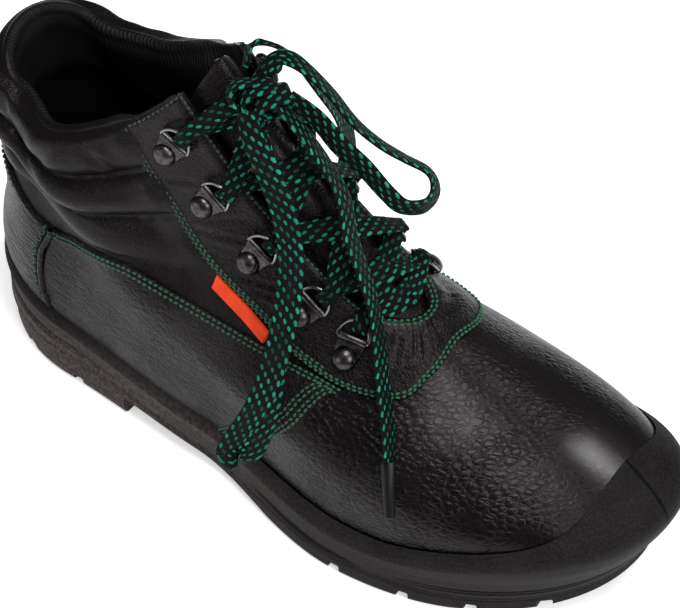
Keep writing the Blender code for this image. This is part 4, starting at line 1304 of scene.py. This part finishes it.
def sweepLace(name, route, asides, widths, replaced=()):  # asides: which way the braid's width points
    route, asides, widths = (np.asarray(q, float) for q in (route, asides, widths))
    fineAt = np.linspace(0, len(route) - 1, (len(route) - 1) * 14 + 1)
    fine = curveThrough(route, fineAt)
    run = runAlong(fine)
    steps = max(int(run[-1] / laceLook["step"]), 12)
    at = np.interp(np.linspace(0, run[-1], steps + 1), run, fineAt)
    line = curveThrough(route, at)
    aside = curveThrough(asides, at)
    wide = curveThrough(widths[:, None], at)[..., 0]
    ahead = headings(line)
    aside = unit(aside - (aside * ahead).sum(-1, keepdims=True) * ahead)
    top = np.cross(ahead, aside)
    length = runAlong(line)

    def place(u, v):
        k = np.round(v * steps).astype(int)
        flat = boxed(np.cos(2 * np.pi * u), laceLook["flatPower"])
        full = boxed(np.sin(2 * np.pi * u), laceLook["fullPower"])
        spot = line[k] + aside[k] * (flat * wide[k] / 2 * mm)[..., None]
        return spot + top[k] * (full * laceLook["thick"] / 2 * mm)[..., None]

    piece, spots, (row, column) = wrapGrid(name, laceLook["around"], steps, place)
    angle = 2 * np.pi * column / (spots.shape[1] - 1)
    setUv(piece, length[row], boxed(np.cos(angle), laceLook["flatPower"]) * wide[row] / 2)
    weld(piece, 1e-6)
    fillEnds(piece)
    smooth(piece, 70)
    finishPiece(piece, laceBraid, "lace", *replaced)
    return piece, line, float(length[-1]) * mm


def heelMm(*rows):  # a route given in mm from the heel
    rows = np.array(rows, float)
    return placed(rows[:, 0], rows[:, 1], rows[:, 2])


viewLook = {
    "azimuth": 39.236,
    "elevation": 47.857,
    "roll": 1.9,
    "scale": 2.687,  # pixels in a mm
    "distance": 960.8,
    "aimX": 152,
    "aimZ": 70.0,
    "centreX": 315.56,
    "centreY": 302.93,
    "width": 680,
    "height": 608,
    "sensor": 36.0,
}
azimuth, elevation = math.radians(viewLook["azimuth"]), math.radians(viewLook["elevation"])
viewRight = np.array([math.cos(azimuth), math.sin(azimuth), 0])
viewBack = np.array([math.sin(azimuth) * math.cos(elevation), -math.cos(azimuth) * math.cos(elevation),
                     math.sin(elevation)])
viewUp = np.cross(viewBack, viewRight)


def alignSides(asides):  # the braid turns over at a ring, but its width never flips
    for k in range(1, len(asides)):
        if asides[k] @ asides[k - 1] < 0:
            asides[k] = -asides[k]
    return asides


def threadRings():
    look = ringLook
    tip = look["barAt"] + look["wireDepth"]
    high = look["curl"] + look["wireDepth"] * math.sin(math.radians(look["tilt"]))
    over = [(tip - 3.9, 1.9), (tip - 2.3, high + 1.5), (tip, high + 1.75), (tip + 3.0, high + 0.7)]
    under = [(tip + 3.0, high - 1.6), (tip, high - 1.8), (tip - 2.4, high - 1.7), (tip - 3.9, 0.4)]
    for first in (-1, 1):
        route, asides, widths = [], [], []

        def add(spot, aside, width):
            route.append(np.array(spot))
            asides.append(np.array(aside, float))
            widths.append(width)

        def through(index, side, path):  # path: distance from the rivet and height, in mm
            lie = ringFrame(ringRows[index], side)
            for x, z in path:
                spot = lie @ Vector((x * mm, side * laceLook["toFront"] * mm, z * mm))
                add(spot, lie.col[1][:3], laceLook["inRing"])

        def overRidge(level, lift, run):
            aside = np.cross(run, normalAt(np.array(level), np.array(1.0)))
            add(fromRidge(level, 0.0, lift), aside, laceLook["width"])

        side = first
        low = ringRows[-1][2] - 0.12
        overRidge(low, 1.5, np.array([0, 1.0, 0]))
        add(fromRidge(low, side * 5.0, 1.3), asides[0], laceLook["width"])
        through(4, side, over[::-1])
        through(4, side, under[::-1])
        for index in (3, 2, 1, 0):
            middle = (ringRows[index][2] + ringRows[index + 1][2]) / 2
            lift = 1.8 if (index % 2 == 0) == (first < 0) else -0.3
            ahead = np.array(ringFrame(ringRows[index], -side).translation) - route[-1]
            overRidge(middle, lift, ahead)
            side = -side
            through(index, side, under)
            through(index, side, over[:-1] + [(tip + 3.0, high + 1.4)])
        knot = heelMm(bow["knot"])[0]
        drawn = laceLook["width"] * laceLook["atEnds"]
        add(mix(route[-1], knot, 0.55) + np.array([0, 0, 1.5]) * mm, asides[-1], drawn)
        add(knot, asides[-1], drawn)
        sweepLace("laceRunOuter" if first < 0 else "laceRunInner", route, alignSides(asides), widths,
                  ("lace_bars",) if first < 0 else ())


# bow: routes in mm from the heel, the same as the solids follow
bow = {
    "knot": (131.5, -4.5, 168),
    "nearLoop": [
        (136, -14.5, 169.5), (142, -18.5, 163), (149, -19.5, 151.5), (156, -21, 138.5), (162, -25, 122.5),
        (166, -33.5, 104.5), (168, -43.5, 88.5), (166.5, -53, 71.5), (160, -62, 52), (162, -61, 46.5),
        (166.5, -56, 50), (168.5, -49.5, 69), (166, -41, 85), (164, -31, 101), (160, -22.5, 119),
        (154, -18.5, 135), (147, -17, 148), (140, -13.5, 161)],
    "farLoop": [
        (130, 3.5, 171), (130, 9, 173.5), (133, 13, 173), (140, 14.5, 170), (150, 15, 164), (160, 15, 156),
        (169, 17.5, 149), (176, 22.5, 142), (183.5, 27, 136), (188, 25, 131), (188.5, 18, 129.5),
        (185, 10, 133.5), (180, 7, 139.5), (171, 6.5, 146.5), (162, 4, 154.5), (152, 3.5, 162.5),
        (142, 1, 168.5)],
    "nearEnd": [
        (142, -4.5, 169), (152, -4, 161), (160, -1, 147), (168, -2, 136), (174, -6.5, 126), (182, -10, 115),
        (189, -13, 104), (195, -18, 93), (203, -26, 81), (211, -34, 72), (216, -40.5, 64)],
    "farEnd": [
        (123, 1.5, 172), (118, 12, 172), (120, 26, 160), (129, 34, 140), (131, 44, 120), (130, 49, 100),
        (127, 50, 80), (124, 49, 66)],
    # how far the flat side turns to the front, at shares of the route
    "farLoopFacing": [(0, 0.9), (0.1, 0.7), (0.22, 0.42), (0.5, 0.3), (0.62, 0.45), (0.75, 0.58), (1, 0.8)],
    "farEndFacing": [(0, 0.45), (0.15, 0.15), (0.35, 0.2), (0.5, 0.6), (1, 0.8)],
    "nearEndFacing": [(0, 0.5), (0.2, 0.5), (0.35, 0.58), (0.6, 0.45), (0.85, 0.55), (1, 0.4)],
    "nearTip": [(216, -40.5, 64), (224, -50.5, 48)],
    "farTip": [(124, 49, 66), (121, 48, 48)],
    "atKnot": 0.72,  # share of the width where it leaves the knot
    "drawnOver": 0.14,
    "knotAcross": (0.58, 0.78, 0.2),
    "knotUp": (-0.15, -0.2, 0.95),
    # turns of the knot: place from its middle, reach, rise, lean, and the node that it stands for
    "wraps": {
        "laceKnot": ((2.5, 0, 0), 7.0, 5.4, 0.0, ("lace_knot",)),
        "laceKnotUnder": ((6.5, 1.5, -0.5), 6.6, 4.2, 0.5, ()),
        "laceKnotSide": ((-1.5, -2.0, 0.5), 6.2, 4.6, -0.5, ()),
    },
}
tipLook = {"radius": 1.9, "bevel": 0.5, "gripWide": 1.5, "endDeep": 0.95, "gripDeep": 0.7}


def makeTip(name, ends, node):
    ends = heelMm(*ends)
    middle, run = ends.mean(0), Vector(ends[1] - ends[0])
    deselectAll()
    bpy.ops.mesh.primitive_cylinder_add(vertices=20, radius=tipLook["radius"] * mm, depth=run.length)
    piece = bpy.context.object
    piece.name = name
    editAll(piece)
    bpy.ops.mesh.bevel(offset=tipLook["bevel"] * mm, segments=3, affect="EDGES")
    leaveEdit()
    for vertex in piece.data.vertices:  # flattened where it grips the braid
        grip = float(ease(0.5 - vertex.co.z / run.length))
        vertex.co.x *= mix(1.0, tipLook["gripWide"], grip)
        vertex.co.y *= mix(tipLook["endDeep"], tipLook["gripDeep"], grip)
    turn = run.to_track_quat("Z", "Y").to_matrix().to_4x4()
    piece.data.transform(Matrix.Translation(middle) @ turn)
    smooth(piece, 40)
    finishPiece(piece, tipDark, "lace_tip", node)
    return piece


def bowSides(route, facing):
    turn = np.interp(np.linspace(0, 1, len(route)), *np.array(facing).T)[:, None]
    return np.cross(headings(route), viewBack) * turn + viewBack * np.sqrt(1 - turn**2)


def tieBow():
    width = laceLook["width"]
    knotSpot = heelMm(bow["knot"])[0]
    made = {}
    for key, node in (("nearLoop", "lace_loop_near"), ("farLoop", "lace_loop_far"),
                      ("nearEnd", "lace_end_near"), ("farEnd", "lace_end_far")):
        route = heelMm(*bow[key])
        if key == "nearLoop":  # folded flat: both strands face the front
            asides = viewRight + viewBack * (0.25 * np.sin(np.linspace(0, 9, len(route))))[:, None]
        else:
            asides = bowSides(route, bow[key + "Facing"])
        along = np.linspace(0, 1, len(route))
        gathered = mix(bow["atKnot"], 1.0, ease(along / bow["drawnOver"]))
        if "Loop" in key:
            gathered = np.minimum(gathered, mix(bow["atKnot"], 1.0, ease((1 - along) / bow["drawnOver"])))
        made[key] = sweepLace(key, route, alignSides(asides), width * gathered, (node,)) + (route,)
    tips = {"nearEnd": makeTip("tipNear", bow["nearTip"], "aglet_near"),
            "farEnd": makeTip("tipFar", bow["farTip"], "aglet_far")}
    for key, (piece, line, length, route) in made.items():
        key in tips
        print(key, "length", round(length, 4))
    t = np.linspace(0, 2 * np.pi, 17)[:, None]
    across = np.array(bow["knotAcross"])
    for name, (shift, reach, rise, lean, nodes) in bow["wraps"].items():
        upward = np.array(bow["knotUp"]) + (lean, 0, 0)
        ring = knotSpot + (np.array(shift) + across * reach * np.cos(t) + upward * rise * np.sin(t)) * mm
        asides = np.repeat(np.cross(across, upward)[None], len(ring), 0)
        sweepLace(name, ring, asides, np.full(len(ring), laceLook["knotWidth"]), nodes)


threadRings()
tieBow()
print("lace tied")

# stitches: one modelled once, then sewn along the seams
stitchLook = {"length": 1.8, "pitch": 2.3, "thread": 0.58, "stagger": 0.25, "rise": 0.12, "reach": 0.8}


def stitchPattern():
    deselectAll()
    bpy.ops.mesh.primitive_uv_sphere_add(segments=6, ring_count=5, radius=1)
    piece = bpy.context.object
    thin, half = stitchLook["thread"] * mm, stitchLook["length"] / 2 * mm
    editAll(piece)
    bpy.ops.transform.resize(value=(thin, thin, half))
    leaveEdit()
    spots = np.array([v.co for v in piece.data.vertices])[:, [2, 0, 1]]
    faces = [tuple(p.vertices) for p in piece.data.polygons]
    bpy.data.objects.remove(piece, do_unlink=True)
    return spots, faces


stitchSpots, stitchFaces = stitchPattern()


def spotAt(at, run, rows):
    return np.array([np.interp(at, run, rows[:, i]) for i in range(3)])


def sew(name, seams, slant, yarn=greenThread):  # seams: points, and the normals of what they lie on
    spots, faces = [], []
    for order, (line, normal) in enumerate(seams):
        shift = stitchLook["stagger"] if order % 2 else -stitchLook["stagger"]
        run = runAlong(line)
        count = int(run[-1] / stitchLook["pitch"])
        for k in range(count):
            at = (k + 0.5 + shift) * run[-1] / count
            up = spotAt(at, run, normal)
            ends = at + stitchLook["reach"], at - stitchLook["reach"]
            ahead = unit(spotAt(ends[0], run, line) - spotAt(ends[1], run, line))
            aside = unit(np.cross(up, ahead))
            ahead = ahead + aside * slant * (1 if k % 2 else -1)
            turned = np.stack([ahead, aside, np.cross(ahead, aside)], 0)
            first = len(spots) * len(stitchSpots)
            spots.append(stitchSpots @ turned + spotAt(at, run, line) + up * stitchLook["rise"] * mm)
            faces += [tuple(first + i for i in face) for face in stitchFaces]
    data = bpy.data.meshes.new(name)
    data.from_pydata(np.concatenate(spots).tolist(), [], faces)
    piece = bpy.data.objects.new(name, data)
    bpy.context.scene.collection.objects.link(piece)
    smooth(piece)
    finishPiece(piece, yarn, "leather")


def seamInside(panel, edge, inset, start=0.0, stop=1.0):  # a line this many mm inside a panel's edge
    top, normal = panel["top"], panel["normal"]
    if edge in ("bottom", "top"):
        top, normal = np.swapaxes(top, 0, 1), np.swapaxes(normal, 0, 1)
    if edge in ("right", "top"):
        top, normal = top[:, ::-1], normal[:, ::-1]
    count = len(top)
    chosen = range(int(start * (count - 1)), int(stop * (count - 1)) + 1)
    run = runAlong(top)
    return tuple(np.array([spotAt(inset, run[k], rows[k]) for k in chosen]) for rows in (top, normal))


# a panel's edge, mm inside it, and where the row starts and stops
seamRows = {
    "eyestay": (("right", 1.6), ("right", 3.3), ("right", 5.0, 0.0, 0.3), ("right", 5.0, 0.7, 1.0),
                ("bottom", 1.8, 0.1, 0.9), ("top", 1.8, 0.1, 0.9), ("left", 2.2), ("left", 3.9, 0.3, 0.7)),
    "quarter": (("top", 2.0), ("top", 4.0), ("right", 2.0, 0.0, 0.96), ("right", 3.9, 0.0, 0.96),
                ("right", 6.4, 0.0, 0.96), ("right", 8.3, 0.0, 0.96)),
    "counter": (("left", 2.6, 0.1, 1.0), ("right", 2.6, 0.1, 1.0)),
    "counterTop": (("top", 2.4, 0.12, 0.88),),
}
for name, rows, panel, slant in (
        ("eyestayStitches", "eyestay", "eyestay", 0.14),
        ("quarterStitchesOuter", "quarter", "quarterOuter", 0.14),
        ("quarterStitchesInner", "quarter", "quarterInner", 0.14),
        ("counterStitches", "counter", "counter", 0.75),
        ("counterTopStitches", "counterTop", "counter", 0.14)):
    sew(name, [seamInside(panels[panel], *row) for row in seamRows[rows]], slant)
collarTurns = np.linspace(-0.62, 0.62, 260)
collarSeams = [(skin(level, collarTurns, 0.25), normalAt(level + 0 * collarTurns, collarTurns))
               for level in (7.0, 8.0)]
sew("collarStitches", collarSeams, 0.05, blackThread)

# piping down the front edge of the counter
pipingLook = {"radius": 1.35, "out": 1.5, "low": 0.12, "ahead": 0.004}


def makePiping(name, side):
    look = pipingLook
    v = np.linspace(look["low"], 1.0, 60)
    level, turn = lieCounter(np.full_like(v, 0.5 + 0.5 * side), v)
    turn = turn + side * look["ahead"]
    line, normal = skin(level, turn, look["out"]), normalAt(level, turn)
    aside = np.cross(normal, headings(line))

    def place(u, along):
        k = np.round(along * (len(v) - 1)).astype(int)
        angle = 2 * np.pi * u[..., None]
        return line[k] + (aside[k] * np.cos(angle) + normal[k] * np.sin(angle)) * look["radius"] * mm

    piece, _, _ = wrapGrid(name, 12, len(v) - 1, place)
    weld(piece, 2e-6)
    fillEnds(piece)
    smooth(piece, 60)
    finishPiece(piece, panelLeather, "leather")


makePiping("pipingOuter", -1.0)
makePiping("pipingInner", 1.0)
print("seams sewn")


# camera, floor and light
def setView():
    look = viewLook
    roll = math.radians(look["roll"])
    right = viewRight * math.cos(roll) - viewUp * math.sin(roll)
    up = viewRight * math.sin(roll) + viewUp * math.cos(roll)
    aim = np.array([last["placeX"] + look["aimX"], last["placeY"], look["aimZ"]])
    spot = (aim + viewBack * look["distance"]) * mm
    camera = bpy.data.objects.new("camera", bpy.data.cameras.new("camera"))
    bpy.context.scene.collection.objects.link(camera)
    camera.matrix_world = Matrix.Translation(spot) @ Matrix((right, up, viewBack)).transposed().to_4x4()
    camera.data.sensor_width = look["sensor"]
    camera.data.sensor_fit = "HORIZONTAL"
    camera.data.lens = look["scale"] * look["distance"] * look["sensor"] / look["width"]
    camera.data.shift_x = 0.5 - look["centreX"] / look["width"]
    camera.data.shift_y = (look["centreY"] - look["height"] / 2) / look["width"]
    camera.data.clip_end = 20.0
    bpy.context.scene.camera = camera


lightLook = {
    "world": 0.14,
    "floorGlow": 0.5,
    "lamps": {  # place, aim, size and power
        "keyLight": ((0.3, -0.2, 1.7), (0.02, -0.02, 0.05), (0.7, 0.7), 19.0),
        "toeLight": ((0.47, 0.52, 1.06), (0.1, 0, 0.05), (0.22, 0.22), 2.6),
        "frontLight": ((0.95, -0.32, 0.8), (0.1, 0, 0.05), (0.6, 0.6), 7.0),
        "sideLight": ((-0.6, -1.3, 0.45), (0, 0, 0.08), (1.0, 0.5), 3.8),
        "backLight": ((0.2, 1.3, 1.0), (0, 0, 0.08), (0.8, 0.5), 0.7),
    },
}


def areaLight(name, spot, aim, size, power):
    lamp = bpy.data.lights.new(name, "AREA")
    lamp.shape = "RECTANGLE"
    lamp.size, lamp.size_y = size
    lamp.energy = power
    thing = bpy.data.objects.new(name, lamp)
    bpy.context.scene.collection.objects.link(thing)
    way = Vector(spot) - Vector(aim)
    thing.matrix_world = Matrix.Translation(spot) @ way.to_track_quat("Z", "Y").to_matrix().to_4x4()


def setStage():
    deselectAll()
    bpy.ops.mesh.primitive_plane_add(size=8)
    floor = bpy.context.object
    floor.name = "floor"
    made, _, _ = newMaterial(
        "paleFloor", Roughness=0.9, Specular_IOR_Level=0.1, Base_Color=(0.93, 0.93, 0.93, 1),
        Emission_Color=(1, 1, 1, 1), Emission_Strength=lightLook["floorGlow"])
    floor.data.materials.append(made)
    world = bpy.data.worlds.new("studio")
    bpy.context.scene.world = world
    world.use_nodes = True
    world.node_tree.nodes["Background"].inputs["Color"].default_value = (1, 1, 1, 1)
    world.node_tree.nodes["Background"].inputs["Strength"].default_value = lightLook["world"]
    for name, lamp in lightLook["lamps"].items():
        areaLight(name, *lamp)
    bpy.context.scene.view_settings.view_transform = "Standard"


setView()
setStage()
print("stage set")
